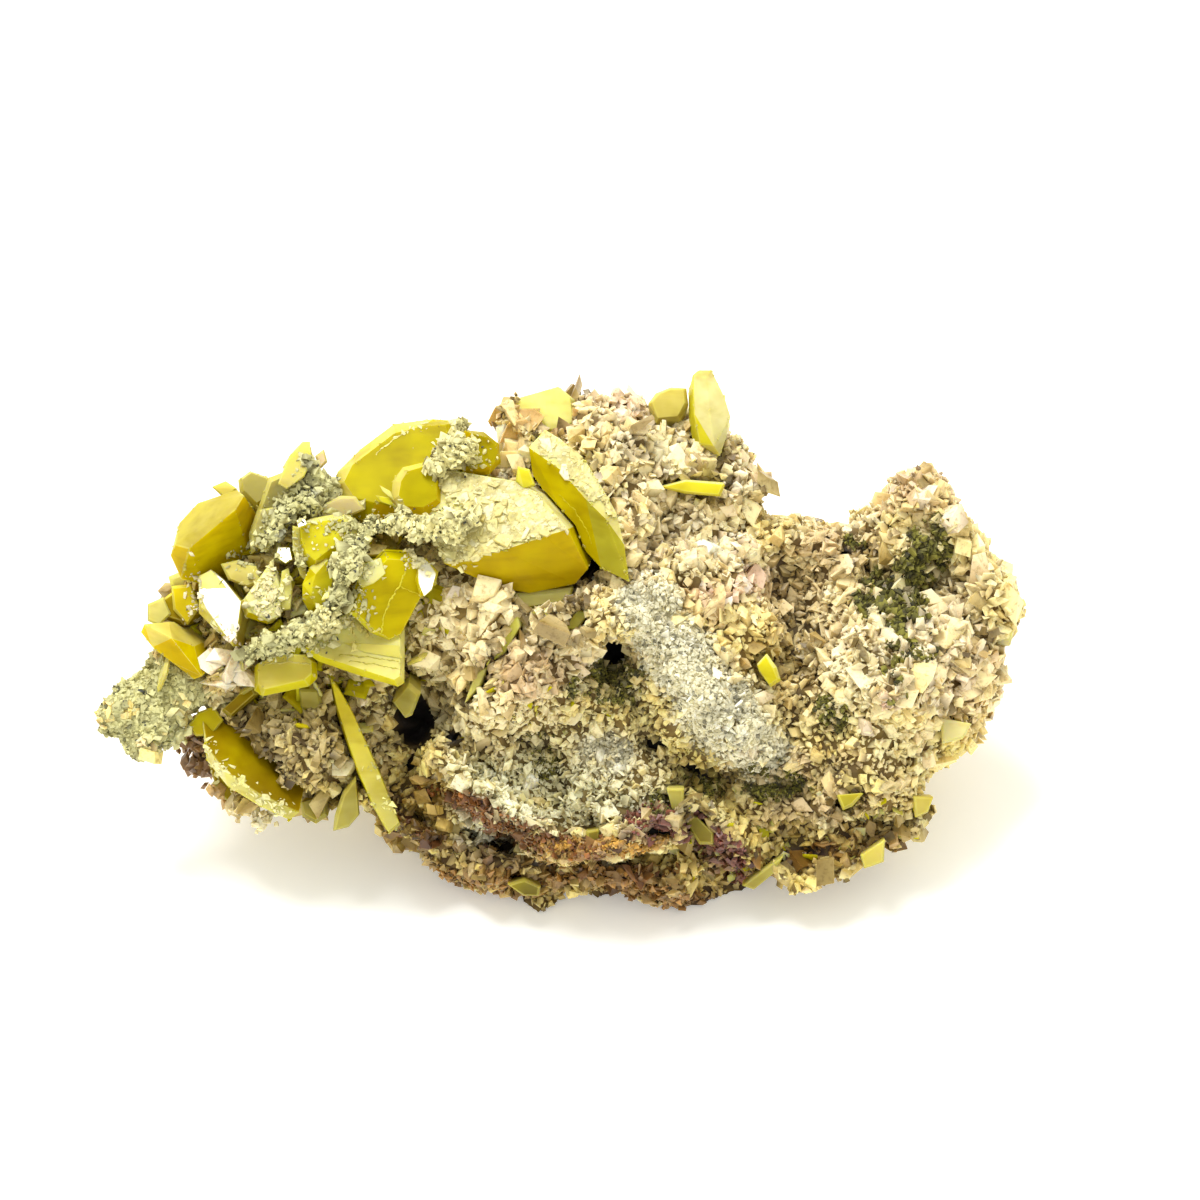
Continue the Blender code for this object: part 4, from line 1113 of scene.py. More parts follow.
# Single large crystals of the druse: u, v, half-size, colour.
LANDMARKS = (
    (13.7, 9, 1.7, WHITE), (11.6, 10.6, 1.2, GREYISH), (15.6, 9.4, 1.1, CREAM), (17, 5.4, 1.2, PINK_WHITE),
    (18.6, 4, 1.1, PINK_WHITE), (15.4, 3.4, 1, PINK_WHITE), (9.4, 7.8, 1.5, GREYISH), (5.6, 10.6, 1.3, TAN),
    (3.4, 24.4, 1.5, PINKISH), (6.2, 24.8, 1.3, PINKISH), (8.6, 22.4, 1.5, GREYISH),
    (4.6, 21.4, 1.4, GREYISH), (8.6, 18.6, 1.2, GREYISH), (12.4, 18.2, 1.1, CREAM), (3, -11.6, 1.4, WHITE),
    (5, -12.4, 1.1, WHITE), (0.5, -7.6, 1.2, CREAM), (2, -9.6, 1, WHITE), (-4, -14.2, 1.5, WHITE),
    (-7.6, -15.4, 1.1, WHITE), (32.3, 0.2, 1.3, WHITE), (31.6, -6.2, 1, PINK), (33.4, 16.4, 1.6, PINKISH),
    (35.2, 14.4, 1.5, PINKISH), (31.6, 13.4, 1.3, CREAM), (38.4, 12, 1.4, PINKISH),
    (29.6, -8.6, 1.4, PINKISH), (35, -2, 1.2, CREAM), (-11.4, 4.2, 1.4, PINK_WHITE),
    (-9.4, 1.8, 1.3, CREAM), (-6.6, 4, 1.1, CREAM), (-3.4, 1.4, 1.2, CREAM), (1.6, -0.6, 1.2, CREAM),
    (4.4, 0.9, 1.4, CREAM), (6.4, 2.4, 1.1, CREAM), (-13, -2.2, 1.1, TAN), (-8.4, -9.6, 1.3, TAN),
    (-20.8, -6.2, 1.3, PINKISH), (-24, -8.4, 1.1, GREYISH), (-22.6, -12.6, 1.3, GREYISH),
    (-7, 23.4, 1.3, AMBER), (-4.6, 21.6, 1.2, AMBER), (-1, 22.2, 1, AMBER),
)
# Lumps of clear quartz in gaps between the crystals: u, v, w, half-size, colour.
QUARTZ_LUMPS = (
    (-35.6, -2.3, 2.6, 1.7, QUARTZ), (-33.6, -3, 3, 1.7, QUARTZ), (-34.9, -4.2, 2.4, 1.3, QUARTZ),
    (-32.6, -2, 3, 1.3, QUARTZ), (-34.6, -1.6, 3.2, 1.2, QUARTZ), (-32.4, -3.8, 2.6, 1.2, QUARTZ),
    (-5.2, 21.4, -2.2, 1.7, AMBER), (-3.6, 22, -2, 1.2, AMBER), (-6.8, 22.6, -3.6, 1.6, AMBER),
    (-5.6, 19.2, -2.4, 1.6, TAN), (-4.2, 18.8, -1.4, 1.3, GREYISH), (-6.4, 18, -1.6, 1.3, TAN),
    (-5.2, 17.4, -1.2, 1.2, TAN), (-6.6, 20.4, -2.8, 1.3, GREYISH), (0.6, 22.4, -2.4, 0.9, AMBER),
)
# Rough knobs of rock beside and below crystals: u, v, w, radius, number of blocks, half-size, colour.
KNOBS = (
    (-37.6, -10, -4.6, 1.5, 60, 0.75, RED_BROWN),
    (-36.9, -12.6, -5.2, 1.4, 50, 0.7, RED_BROWN),
    (-34.8, -14.8, -4, 1.3, 36, 0.65, AMBER),
    (-32.9, -16.6, -3.4, 1.4, 44, 0.7, TAN),
    (-30.6, -17.8, -2.8, 1.2, 30, 0.6, CREAM),
    (-39.6, -8.4, 0.6, 1.9, 90, 0.6, GANGUE_GREY),
    (-41.2, -9.6, 0.8, 1.6, 70, 0.6, GANGUE_GREY),
)


def landmarks(bed):
    rng = np.random.default_rng(33)
    flat = np.array([mark[:2] for mark in LANDMARKS])
    heights = surface_height(tree_from([(bed.co, bed.tris)]), flat)
    found = ~np.isnan(heights)
    half = np.array([mark[2] for mark in LANDMARKS])[found]
    points = to_world(np.column_stack((flat, heights)))[found]
    colours = np.array([mark[3] for mark in LANDMARKS])[found] * rng.uniform(0.92, 1.08, (found.sum(), 1))
    upward = np.tile(OUTWARD + (0, 0, 0.2), (len(points), 1))
    shapes = grains(rhomb, 8, rng) + grains(wedge, 8, rng) + grains(block, 8, rng)
    frames = random_frames(upward, 0.35, rng)
    scatter("druse_landmarks", shapes, points, frames, stretched(half, 0.6, 1.0, rng), colours, FINE_DRUSE)
    quartz_lumps(rng)


def quartz_lumps(rng):
    places = to_world([lump[:3] for lump in QUARTZ_LUMPS])
    half = np.array([lump[3] for lump in QUARTZ_LUMPS])
    scatter("quartz_lumps", grains(block, 6, rng), places, outward_frames(len(places), 0.4, rng),
            stretched(half, 0.8, 1.0, rng), np.array([lump[4] for lump in QUARTZ_LUMPS]), CLEAR_QUARTZ)


def knobs():
    rng = np.random.default_rng(67)
    shapes = grains(block, 8, rng) + grains(rhomb, 6, rng)
    for number, (u, v, w, radius, count, half, colour) in enumerate(KNOBS, 1):
        spots = rng.normal(0.0, 0.48 * radius, (count, 3)) + (u, v, w)
        sizes = half * rng.uniform(0.4, 1.1, (count, 1)) * rng.uniform(0.6, 1.1, (count, 3))
        colours = shades_of(colour, 0.7, 1.25, count, rng)
        frames = outward_frames(count, 0.8, rng)
        scatter(f"knob_{number}", shapes, to_world(spots), frames, sizes, colours, KNOB_ROCK)


# ---------------------------------------------------------------- wulfenite

DEEP_GOLD = (0.64, 0.45, 0.0)
DARK_GOLD = (0.34, 0.23, 0.0)
RICH_GOLD = (0.58, 0.46, 0.0)
BUTTER = (0.75, 0.69, 0.33)
BLADE_YELLOW = (0.95, 0.86, 0.16)
FAN_GOLD = (0.47, 0.39, 0.0)
GOLD = (0.67, 0.52, 0.0)
YELLOW = (0.62, 0.52, 0.0)
LEMON = (0.70, 0.62, 0.02)
PALE_GOLD = (0.74, 0.63, 0.12)
PALE = (0.82, 0.76, 0.24)
CREAMY = (0.84, 0.78, 0.34)
OLIVE = (0.40, 0.34, 0.02)
OLIVE_GOLD = (0.50, 0.45, 0.03)
PALE_OLIVE = (0.64, 0.58, 0.18)
GREY_OLIVE = (0.50, 0.45, 0.17)
STRAW = (0.48, 0.42, 0.11)
DARK_STRAW = (0.30, 0.24, 0.045)
PALE_STRAW = (0.66, 0.56, 0.14)
IVORY = (0.86, 0.78, 0.42)
SMOKY = (0.56, 0.46, 0.22)
HONEY = (0.48, 0.39, 0.07)
# A near-white painted reflection: the lamp's glint on the polished plates.
FLASH = (0.92, 0.90, 0.82)

# Colours of a crystal's faces: the way a face looks in display-face axes, its colour, and optionally the box
# of (u, v) that it is in. Each face takes the colour of the nearest way. Much of this is painted light and
# shade: a crystal's colour made paler or deeper by the way its face looks, as the light falls on it; the
# cream faces are crust.
UP_LEFT, UP, OUT, DOWN = (-0.6, 0.7, 0.4), (0.0, 0.8, 0.6), (0.0, 0.1, 1.0), (0.1, -0.6, 0.8)
LEFT, RIGHT = (-0.9, 0.0, 0.4), (0.9, 0.0, 0.4)
FAN = (-25, -14.6, 11, 23)
SPEAR_TOP = (-5, 7, 11, 23)
SPEAR_END = (2.0, 7.0, 4, 12)
TABLE = (-27, -16, -5, 2.6)
FACE_COLOURS = {
    "wulfenite_left_thick": ((UP_LEFT, HONEY), ((0.3, 0.9, 0.2), YELLOW), ((0.3, -0.4, 0.8), GOLD),
        ((-0.6, -0.7, 0.3), DEEP_GOLD), (RIGHT, DEEP_GOLD)),
    "wulfenite_crusted": ((UP, CREAMY, (-14.6, 2, 7, 18)), (DOWN, DEEP_GOLD), (RIGHT, GOLD),
        ((-0.05, 0.35, 1), FAN_GOLD, FAN), (LEFT, PALE_STRAW, FAN), ((0, 1, 0.2), PALE_GOLD, FAN),
        ((0, 0.4, 0.9), FAN_GOLD, (-14.6, -5, 16, 23)), (LEFT, GOLD)),
    "wulfenite_spear": ((RIGHT, CREAMY, SPEAR_TOP), (UP, CREAMY, SPEAR_TOP), (DOWN, RICH_GOLD),
        (LEFT, RICH_GOLD), (OUT, RICH_GOLD), (OUT, OLIVE_GOLD, SPEAR_END), (RIGHT, PALE_OLIVE, SPEAR_END)),
    "wulfenite_centre": ((OUT, RICH_GOLD), (LEFT, RICH_GOLD), (UP, YELLOW), (DOWN, RICH_GOLD),
        (OUT, PALE, TABLE), (UP, PALE, TABLE), (DOWN, LEMON, TABLE)),
    "wulfenite_block": ((OUT, PALE_GOLD), (UP, PALE_GOLD), (DOWN, LEMON), (LEFT, YELLOW), (RIGHT, YELLOW)),
    "wulfenite_twin": ((OUT, LEMON), (UP, PALE), (LEFT, YELLOW), (DOWN, YELLOW), (RIGHT, PALE)),
    "wulfenite_mirror": ((OUT, PALE), (UP, CREAMY), (LEFT, PALE_GOLD), (DOWN, GOLD), (RIGHT, PALE_GOLD)),
    "wulfenite_left_crest": ((OUT, GREY_OLIVE), (UP, PALE_OLIVE), (LEFT, PALE_OLIVE), (DOWN, OLIVE),
        (OUT, PALE_STRAW, (-29, -25, 15, 20))),
    "wulfenite_left_edge": ((OUT, DARK_GOLD), (UP, GOLD), (DOWN, DARK_GOLD)),
    "wulfenite_low_left": ((UP, PALE_STRAW), (OUT, PALE_STRAW), (DOWN, DEEP_GOLD), (RIGHT, GOLD)),
    "wulfenite_lower_plate": ((UP, DARK_GOLD), (OUT, DARK_GOLD), (RIGHT, DARK_GOLD), (DOWN, PALE),
        (LEFT, CREAMY)),
    "wulfenite_under_plate": ((OUT, PALE_OLIVE), (UP, PALE_OLIVE), (DOWN, OLIVE)),
    "wulfenite_tall_blade": ((RIGHT, BUTTER), (OUT, BUTTER), (LEFT, LEMON), (DOWN, PALE)),
    "wulfenite_top_block": ((OUT, PALE), (UP, PALE), (DOWN, PALE_GOLD), (LEFT, PALE_GOLD)),
    "wulfenite_long_blade": ((OUT, PALE_OLIVE), (LEFT, LEMON), (RIGHT, OLIVE)),
}
UPPER_ENDS = {"wulfenite_long_blade": (0.80, 0.66, 0.02)}  # colour that a crystal fades to at its upper end
PLAIN_COLOURS = {
    "wulfenite_plate_1": STRAW, "wulfenite_plate_2": DARK_STRAW, "wulfenite_plate_3": OLIVE,
    "wulfenite_plate_4": STRAW, "wulfenite_plate_5": PALE_STRAW, "wulfenite_plate_6": PALE_STRAW,
    "wulfenite_plate_7": IVORY, "wulfenite_plate_8": DARK_STRAW, "wulfenite_plate_9": DARK_STRAW,
    "wulfenite_plate_10": IVORY, "wulfenite_mid_sliver": BLADE_YELLOW, "wulfenite_blade_high": BLADE_YELLOW,
    "wulfenite_blade_low": PALE, "wulfenite_pale_tip": STRAW, "wulfenite_pale_foot": STRAW,
    "wulfenite_tucked": DARK_GOLD, "wulfenite_short_blade": STRAW, "wulfenite_curved": PALE_STRAW,
}
# Faces by slot for the other crystals: one colour painted paler looking up and deeper looking down, as
# painted light and shade.
SLOT_COLOURS = {
    "wulfenite_gold": ((OUT, GOLD), (UP, PALE_GOLD), (DOWN, DEEP_GOLD)),
    "wulfenite_lemon": ((OUT, LEMON), (UP, PALE), (DOWN, YELLOW)),
    "wulfenite_olive": ((OUT, PALE_OLIVE), (UP, PALE_OLIVE), (DOWN, OLIVE)),
}
IN_ITS_BOX, OUT_OF_ITS_BOX = 0.3, -9.0  # what a paint's box adds to its score
CRYSTAL_WEAR, PLATE_WEAR = 0.11, 0.05  # width of worn edges
LEAST_BEND = math.radians(14)  # flatter edges are not worn
RIM_AREA = 0.45 * MM * MM  # smaller faces are worn edges, painted paler as a highlight where they catch the light


def colour_of_face(face, paints, ways):
    """The colour of the paint whose way is nearest to the face's own; worn edges get a paler painted
    highlight.
    """
    u, v, _ = to_face(np.array(face.center) / MM)
    scores = ways @ (AXES @ np.array(face.normal))
    for i, (_, _, *boxes) in enumerate(paints):
        for u0, u1, v0, v1 in boxes:
            scores[i] += IN_ITS_BOX if u0 < u < u1 and v0 < v < v1 else OUT_OF_ITS_BOX
    colour = np.array(paints[int(np.argmax(scores))][1])
    return 0.7 * colour + 0.3 * np.array(PALE) if face.area < RIM_AREA else colour


def paint_faces(mesh, paints, upper_end=None):
    """A colour for each face of a crystal, brighter towards its upper end."""
    attribute = mesh.color_attributes.new("tint", "FLOAT_COLOR", "CORNER")
    ways = np.array([paint[0] for paint in paints], float)
    ways /= np.linalg.norm(ways, axis=1)[:, None]
    rise = to_face([np.array(vert.co) / MM for vert in mesh.vertices])[:, 1]
    rise = (rise - rise.min()) / np.ptp(rise)
    for face in mesh.polygons:
        colour = colour_of_face(face, paints, ways)
        for loop in face.loop_indices:
            height = rise[mesh.loops[loop].vertex_index]
            shaded = colour * (0.84 + 0.24 * height) + 0.04 * height * np.array((1.0, 1.0, 0.0))
            if upper_end is not None:
                shaded = blend(shaded, upper_end, height)
            attribute.data[loop].color = (*shaded, 1.0)


def joined_mesh(mesh):
    """The mesh for editing, its corners joined and its flat faces whole."""
    bm = bmesh.new()
    bm.from_mesh(mesh)
    bmesh.ops.remove_doubles(bm, verts=bm.verts, dist=0.001 * MM)
    bmesh.ops.dissolve_limit(bm, angle_limit=math.radians(1.0), verts=bm.verts, edges=bm.edges)
    return bm


def wear_edges(obj, width):
    """Rounds the sharp edges, in two steps."""
    bm = joined_mesh(obj.data)
    sharp = [edge for edge in bm.edges if edge.calc_face_angle(math.pi) > LEAST_BEND]
    bmesh.ops.bevel(bm, geom=sharp, offset=width * MM, segments=2, profile=0.6, affect="EDGES",
                    clamp_overlap=True)
    bm.to_mesh(obj.data)
    bm.free()
    obj.data.shade_flat()


def face_paints(node, slot):
    if node in PLAIN_COLOURS:
        colour = np.array(PLAIN_COLOURS[node])
        # Painted light and shade: upper faces a tenth lighter, lower faces a quarter darker.
        return (OUT, colour), (UP, colour * 1.1), (DOWN, colour * 0.75)
    return FACE_COLOURS.get(node, SLOT_COLOURS[slot])


def wulfenite():
    """The crystals of the solids, with worn edges and painted colours, partly painted light and shade."""
    slots = {entry["node"]: entry["material_slot"] for entry in frame["record"]["subparts"]}
    for node in WULFENITE_NODES:
        slot = slots[node]
        obj = copy_of(node, node + "_crystal")
        wear_edges(obj, CRYSTAL_WEAR)
        obj.data.materials.clear()
        obj.data.materials.append(WULFENITE_LOOKS[slot])
        paint_faces(obj.data, face_paints(node, slot), UPPER_ENDS.get(node))
        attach(obj, "root")
        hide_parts(node)


# Crystals too small or too thin for the source: outline in (u, v), height w, slopes of the top, thickness,
# bevel and colour. The FLASH ones are polished; their near-white colour is a painted reflection.
PLATES = {
    "mirror_face": (((-36.9, 6.4), (-35.6, 6.9), (-34.4, 6), (-32.6, 3.8), (-33, 0.3), (-33.6, -0.2),
        (-34.9, 1.5), (-36.1, 3), (-36.9, 4.6)), 6.1, (0.15, -0.55), 1.8, 0.12, FLASH),
    "glint_tab": (((-15.1, 7.9), (-14.2, 8.1), (-13.2, 6.6), (-13.6, 5), (-14.4, 4.3), (-15, 5.6)),
        8.9, (0.15, -0.55), 0.8, 0.1, FLASH),
    "flash_tile": (((-29, 9.3), (-27.8, 9.2), (-27.5, 8), (-28.2, 7.6), (-29.2, 8.3)), 6.8, (0.15, -0.55),
        0.7, 0.1, FLASH),
    "twin_glint": (((-27.1, 11.9), (-26.3, 12.2), (-26, 11.5), (-26.9, 11.1)), 8.2, (0.15, -0.55),
        0.5, 0.08, FLASH),
    "olive_tablet": (((-30.9, 13), (-27.6, 13.6), (-27.4, 12), (-30.2, 8.7), (-31.8, 9.6), (-31.6, 11)),
        4.4, (0.1, -0.2), 1.3, 0.2, GREY_OLIVE),
    "smoky_tablet": (((-24.8, 13.4), (-22.8, 14.4), (-21.3, 14.3), (-20.3, 13), (-22.5, 12), (-24.6, 12.2)),
        5.4, (0, -0.3), 1.4, 0.3, SMOKY),
    "scaly_plate": (((-32.3, 4.2), (-31.2, 5.6), (-29.6, 8), (-28.7, 5.4), (-28.6, 2.4), (-29.9, 1.8),
        (-31.4, 2.6)), 6.5, (0, -0.3), 0.7, 0.15, CREAMY),
    "scaly_sliver": (((-28.6, 6.9), (-27.9, 7.2), (-27.5, 5), (-27.7, 3), (-28.6, 2.9), (-28.9, 4.5)),
        6.6, (0.2, 0), 0.9, 0.15, PALE),
    "behind_mirror": (((-34.8, 7.6), (-33, 8), (-31.2, 7.4), (-30.6, 5.8), (-32, 5.2), (-34, 6)),
        4.4, (0, -0.4), 1.6, 0.3, PALE_STRAW),
    "twin_left": (((-27.5, 11.4), (-26.8, 11.2), (-26.2, 8), (-26, 5.5), (-26.8, 6.5), (-27.5, 9)),
        7, (-0.4, 0), 1, 0.15, PALE_OLIVE),
    "twin_right": (((-23.6, 8.8), (-21.4, 8.6), (-20.9, 6.8), (-22, 5.4), (-23.4, 5.6)), 7.2, (0.2, 0.1),
        1.2, 0.2, CREAMY),
    "ridge_tile": (((-21.1, 6), (-20.6, 7.6), (-18.7, 8.2), (-18.2, 6.6), (-19.4, 5.6), (-20.6, 5.2)),
        9.3, (0.1, -0.2), 0.5, 0.1, CREAMY),
    "edge_gold": (((-39.8, 5.4), (-37.8, 5.6), (-36.9, 3.2), (-38.1, 1.5), (-39.6, 3)), 2.4, (0.2, -0.2),
        1.6, 0.3, GOLD),
    "edge_olive": (((-42.2, 3.6), (-40.6, 4.3), (-39.8, 2.6), (-41, 1.4), (-42.2, 1.9)), 1.6, (0.2, -0.2),
        1.4, 0.25, PALE_OLIVE),
    "fan_sliver_1": (((-18.9, 15.4), (-17.8, 14.8), (-17.4, 13.8), (-18.6, 14.8)), 6.6, (0.1, -0.2),
        0.5, 0.08, PALE),
    "fan_sliver_2": (((-19.3, 14.4), (-18, 14.2), (-17.2, 13.2), (-18.7, 13.7)), 6.4, (0.1, -0.2),
        0.5, 0.08, LEMON),
    "fan_facet": (((-23.4, 14.6), (-22.9, 16.6), (-21.6, 18.2), (-19.7, 18.7), (-19.3, 17.2),
        (-20.6, 14.6)), 2.5, (0.35, -0.5), 0.8, 0.08, PALE_GOLD),
    "crest_blade": (((-26.6, 19.8), (-25.9, 19.8), (-25.7, 17.8), (-26.4, 16.2), (-28.1, 15), (-29, 15.5),
        (-28.2, 17.8)), 4.9, (0, -0.75), 2, 0.15, PALE_STRAW),
    "spear_foot": (((-5.2, 17.3), (-4, 17), (-3.4, 15.4), (-4.6, 14.9), (-5.4, 15.8)), 5.6, (0.2, -0.2),
        1, 0.2, LEMON),
    "left_tip": (((-35.8, 15.3), (-34.4, 15.9), (-33.2, 15.1), (-34.4, 14)), 1.4, (0, -0.3),
        1.4, 0.3, PALE_GOLD),
    "crest_tip": (((-25.5, 18.4), (-24.6, 19.1), (-24.2, 17.8), (-25, 17)), 0.8, (0, -0.3),
        1.2, 0.3, (0.74, 0.58, 0.38)),
    "under_lower_plate": (((-36.2, -12.6), (-34.4, -12.8), (-31.4, -16.4), (-32.8, -17.4), (-35.4, -15.4)),
        -3, (0.1, 0.2), 1.4, 0.2, DARK_GOLD),
    "lower_plate_arm": (((-38.2, -8.6), (-37.2, -7.2), (-35.6, -6.6), (-34.6, -8), (-35.8, -9.6),
        (-37.4, -9.6)), 0.9, (0, -0.2), 1.8, 0.2, YELLOW),
    "table_step_1": (((-22.6, -0.2), (-17, -0.5), (-16.6, -1.8), (-20.4, -1.2)), 6.95, (0.1, -0.45),
        0.7, 0.05, PALE_GOLD),
    "table_step_2": (((-21, -1.9), (-16.6, -2.6), (-16.6, -4), (-20, -3.2)), 6.35, (0.1, -0.45),
        0.6, 0.05, LEMON),
}


def slab_points(outline, w, slope, thick, bevel):
    """Corners of a tablet: its top, the rim one bevel below and the smaller foot."""
    flat = np.array(outline)
    middle = flat.mean(axis=0)
    offset = flat - middle
    reach = np.linalg.norm(offset, axis=1)[:, None]
    top = w + offset @ np.array(slope)
    inner, foot = middle + offset * (1 - bevel / reach), middle + offset * 0.9
    layers = ((inner, top), (flat, top - bevel), (foot, top - thick))
    return np.concatenate([np.column_stack(layer) for layer in layers])


def plates():
    """The crystals of PLATES; returns their objects."""
    made = []
    for name, (*slab, colour) in PLATES.items():
        polished = colour is FLASH
        verts, tris = hull_template(slab_points(*slab))
        look = POLISHED_LOOK if polished else LEMON_LOOK
        piece = object_from(name, to_world(verts), tris, look)
        wear_edges(piece, PLATE_WEAR)
        # Painted shade on the sides, three quarters of the colour; polished plates have pale gold sides below
        # their painted reflection.
        side = np.array(PALE_GOLD) if polished else 0.75 * np.array(colour)
        paint_faces(piece.data, ((OUT, colour), (UP, colour), (DOWN, side), (LEFT, side), (RIGHT, side)))
        made.append(piece)
    return made


# Raised growth lines and steps on crystal faces: the crystal, the line in (u, v), half-width, rise, colour.
SEAMS = (
    ("wulfenite_centre", ((-16.3, 7), (-16.9, 5.4), (-17.8, 4), (-18.5, 2.3), (-18.7, 0.6)),
        0.12, 0.09, LEMON),
    ("wulfenite_centre", ((-13.6, 3.2), (-15.2, 4.6), (-16.9, 5.4)), 0.1, 0.07, YELLOW),
    ("wulfenite_centre", ((-23, -1.4), (-20, -1.7), (-17, -2.1)), 0.1, 0.06, OLIVE),
    ("wulfenite_centre", ((-22, -2), (-19.4, -2.4), (-16.8, -2.9)), 0.08, 0.06, OLIVE),
    ("wulfenite_spear", ((-1.2, 14.6), (0.4, 13), (1.6, 11.2), (2.2, 9.6)), 0.08, 0.05, YELLOW),
    ("wulfenite_crusted", ((-19.4, 18.6), (-17.8, 19.8), (-16.2, 20.9)), 0.1, 0.06, PALE),
    ("wulfenite_block", ((-30.6, -2.4), (-28, -2.2), (-25.8, -2.4)), 0.14, 0.06, PALE_STRAW),
)
SEAM_SINK, SEAM_ROOT = 0.03, 0.25  # how far its sides and its root are under the crystal's surface


def seam(name, tree, line, width, rise, colour):
    """A low ridge with four sides along a line on a crystal's face."""
    rng = np.random.default_rng(len(name))
    line = np.array(line, float)
    steps = np.linspace(0.0, len(line) - 1.0, 8 * len(line))
    path = np.stack([np.interp(steps, np.arange(len(line)), line[:, axis]) for axis in (0, 1)], 1)
    path += rng.normal(0, 0.05, path.shape)
    along = np.gradient(path, axis=0)
    side = np.stack((-along[:, 1], along[:, 0]), 1) / np.linalg.norm(along, axis=1)[:, None]
    reach = side * (width * rng.uniform(0.3, 1.3, (len(path), 1)))
    heights = surface_height(tree, path)
    kept = ~np.isnan(heights)
    path, reach, heights = path[kept], reach[kept], heights[kept]
    if len(path) < 3:
        return
    corners = ((path - reach, heights - SEAM_SINK), (path, heights + rise * rng.uniform(0.5, 1.2, len(path))),
               (path + reach, heights - SEAM_SINK), (path, heights - SEAM_ROOT))
    rings = np.stack([np.column_stack(corner) for corner in corners], 1)
    quads = [(4 * i + a, 4 * i + 4 + a, 4 * i + 4 + (a + 1) % 4, 4 * i + (a + 1) % 4)
             for i in range(len(path) - 1) for a in range(4)]
    last = 4 * len(path) - 4
    quads += [(0, 1, 2, 3), (last + 3, last + 2, last + 1, last)]
    piece = object_from(name, to_world(rings.reshape(-1, 3)), quads, CRUST_LOOK)
    set_tints(piece, np.tile(colour, (len(path) * 4, 1)))


def seams():
    for number, (node, line, width, rise, colour) in enumerate(SEAMS, 1):
        seam(f"growth_line_{number}", tree_of(node), line, width, rise, colour)


# Crystals with worn, chipped edges, and the colour of the chips.
NICKED = {
    "wulfenite_crusted": PALE_GOLD, "wulfenite_spear": PALE_GOLD, "wulfenite_centre": PALE_GOLD,
    "wulfenite_left_thick": PALE_STRAW, "wulfenite_twin": PALE_STRAW, "wulfenite_mirror": CREAMY,
    "wulfenite_block": PALE_STRAW, "wulfenite_low_left": PALE_STRAW, "wulfenite_lower_plate": YELLOW,
    "wulfenite_tall_blade": PALE, "wulfenite_long_blade": PALE_OLIVE, "wulfenite_left_crest": PALE_OLIVE,
}
NICKED_BEND = math.radians(20)  # flatter edges have no chips
CHIPS_PER_MM = 1.6


def edge_spots(node, rng):
    """Random places along a crystal's edges, each with the direction in which the edge points."""
    bm = joined_mesh(frame["nodes"][node].data)
    spots = []
    for edge in bm.edges:
        if len(edge.link_faces) != 2 or edge.calc_face_angle() < NICKED_BEND:
            continue
        a, b = (np.array(vert.co) / MM for vert in edge.verts)
        normal = np.array(sum((face.normal for face in edge.link_faces), Vector()).normalized())
        count = rng.poisson(CHIPS_PER_MM * np.linalg.norm(b - a))
        spots += [(a + (b - a) * t - normal * 0.05, normal) for t in rng.random(count)]
    bm.free()
    return spots


def nicks():
    """Small chips along the edges of the larger crystals."""
    rng = np.random.default_rng(47)
    shapes = grains(flake, 12, rng)
    spots = [(*spot, colour) for node, colour in NICKED.items() for spot in edge_spots(node, rng)]
    points, normals, colours = (np.array(column) for column in zip(*spots))
    half = 0.07 + 0.28 * rng.random(len(points)) ** 3
    colours = colours * rng.uniform(0.8, 1.1, (len(points), 1))
    frames = random_frames(normals, 0.5, rng)
    scatter("edge_chips", shapes, points, frames, stretched(half, 0.6, 1.2, rng), colours, EDGE_CRYSTAL)


# Small loose crystals: name, zone, number, half-sizes, colours.
CHIPS = (
    ("cluster_chips", (-26, 4, 13, 10, 10), 420, (0.5, 1.7), (LEMON, YELLOW, CREAMY, PALE_OLIVE, STRAW)),
    ("lower_chips", (22, -19, 15, 5, 5), 150, (0.3, 0.8), (LEMON, PALE, PALE_OLIVE, CREAMY)),
    ("middle_chips", (-6, -4, 10, 8, 0), 60, (0.3, 0.7), (LEMON, PALE_GOLD, PALE_OLIVE, YELLOW)),
)


def small_chips(bed):
    grower = Grower(bed)
    rng = grower.rng
    shapes = grains(tablet, 14, rng)
    for name, zone, count, (low, high), palette in CHIPS:
        points, half, _, frames = grower.place(count, low, high, lean=0.8, sunk=-0.35, power=1.5, margin=0.4,
                                               weight=in_zones((zone,)), on_lump=True)
        colours = np.array(palette)[rng.integers(len(palette), size=len(points))]
        colours = colours * rng.uniform(0.85, 1.05, (len(points), 1))
        scatter(name, shapes, points, frames, grower.stretched(half), colours, LOOSE_CRYSTAL)


# ---------------------------------------------------------------- cream crust, flakes and crumbs

# Crusts left on crystals: the crystal, the crust's outline in (u, v) and its thickness.
CRUSTS = (
    ("wulfenite_crusted", ((-14.6, 17.2), (-11.5, 17.2), (-8.5, 16.2), (-5.8, 16.3), (-3, 14.5),
        (-0.7, 11.8), (0, 10.9), (-3, 10.3), (-5.8, 9.2), (-7.8, 8.3), (-11.5, 7.3), (-13.8, 8),
        (-14.4, 9.3), (-13, 12), (-10.5, 13.2), (-12.5, 14.2)), 0.5),
    ("wulfenite_spear", ((-4, 20.4), (-2.3, 21.2), (-0.9, 20.3), (1.4, 18.2), (2.8, 16.2), (3.7, 14.4),
        (4.7, 12.2), (3.3, 12.6), (1.6, 14.4), (-0.6, 16.8), (-3, 18.4)), 0.4),
)
CRUST_COLOURS = np.array(((0.78, 0.70, 0.32), (0.72, 0.64, 0.26), (0.64, 0.55, 0.20), (0.82, 0.76, 0.42)))
CRUST_CELL = 0.22  # spacing of the crust's grid
CRUST_ROUGHNESS = 0.3
CRUST_SINK = 0.25  # how far the crust reaches into the crystal
FLAKES_PER_MM2 = 4.4  # loose flakes on the crusts
CRUST_FLAKE, SCALE_FLAKE = np.array((1.0, 1.0, 0.28)), np.array((1.0, 1.0, 0.45))  # flattened shapes


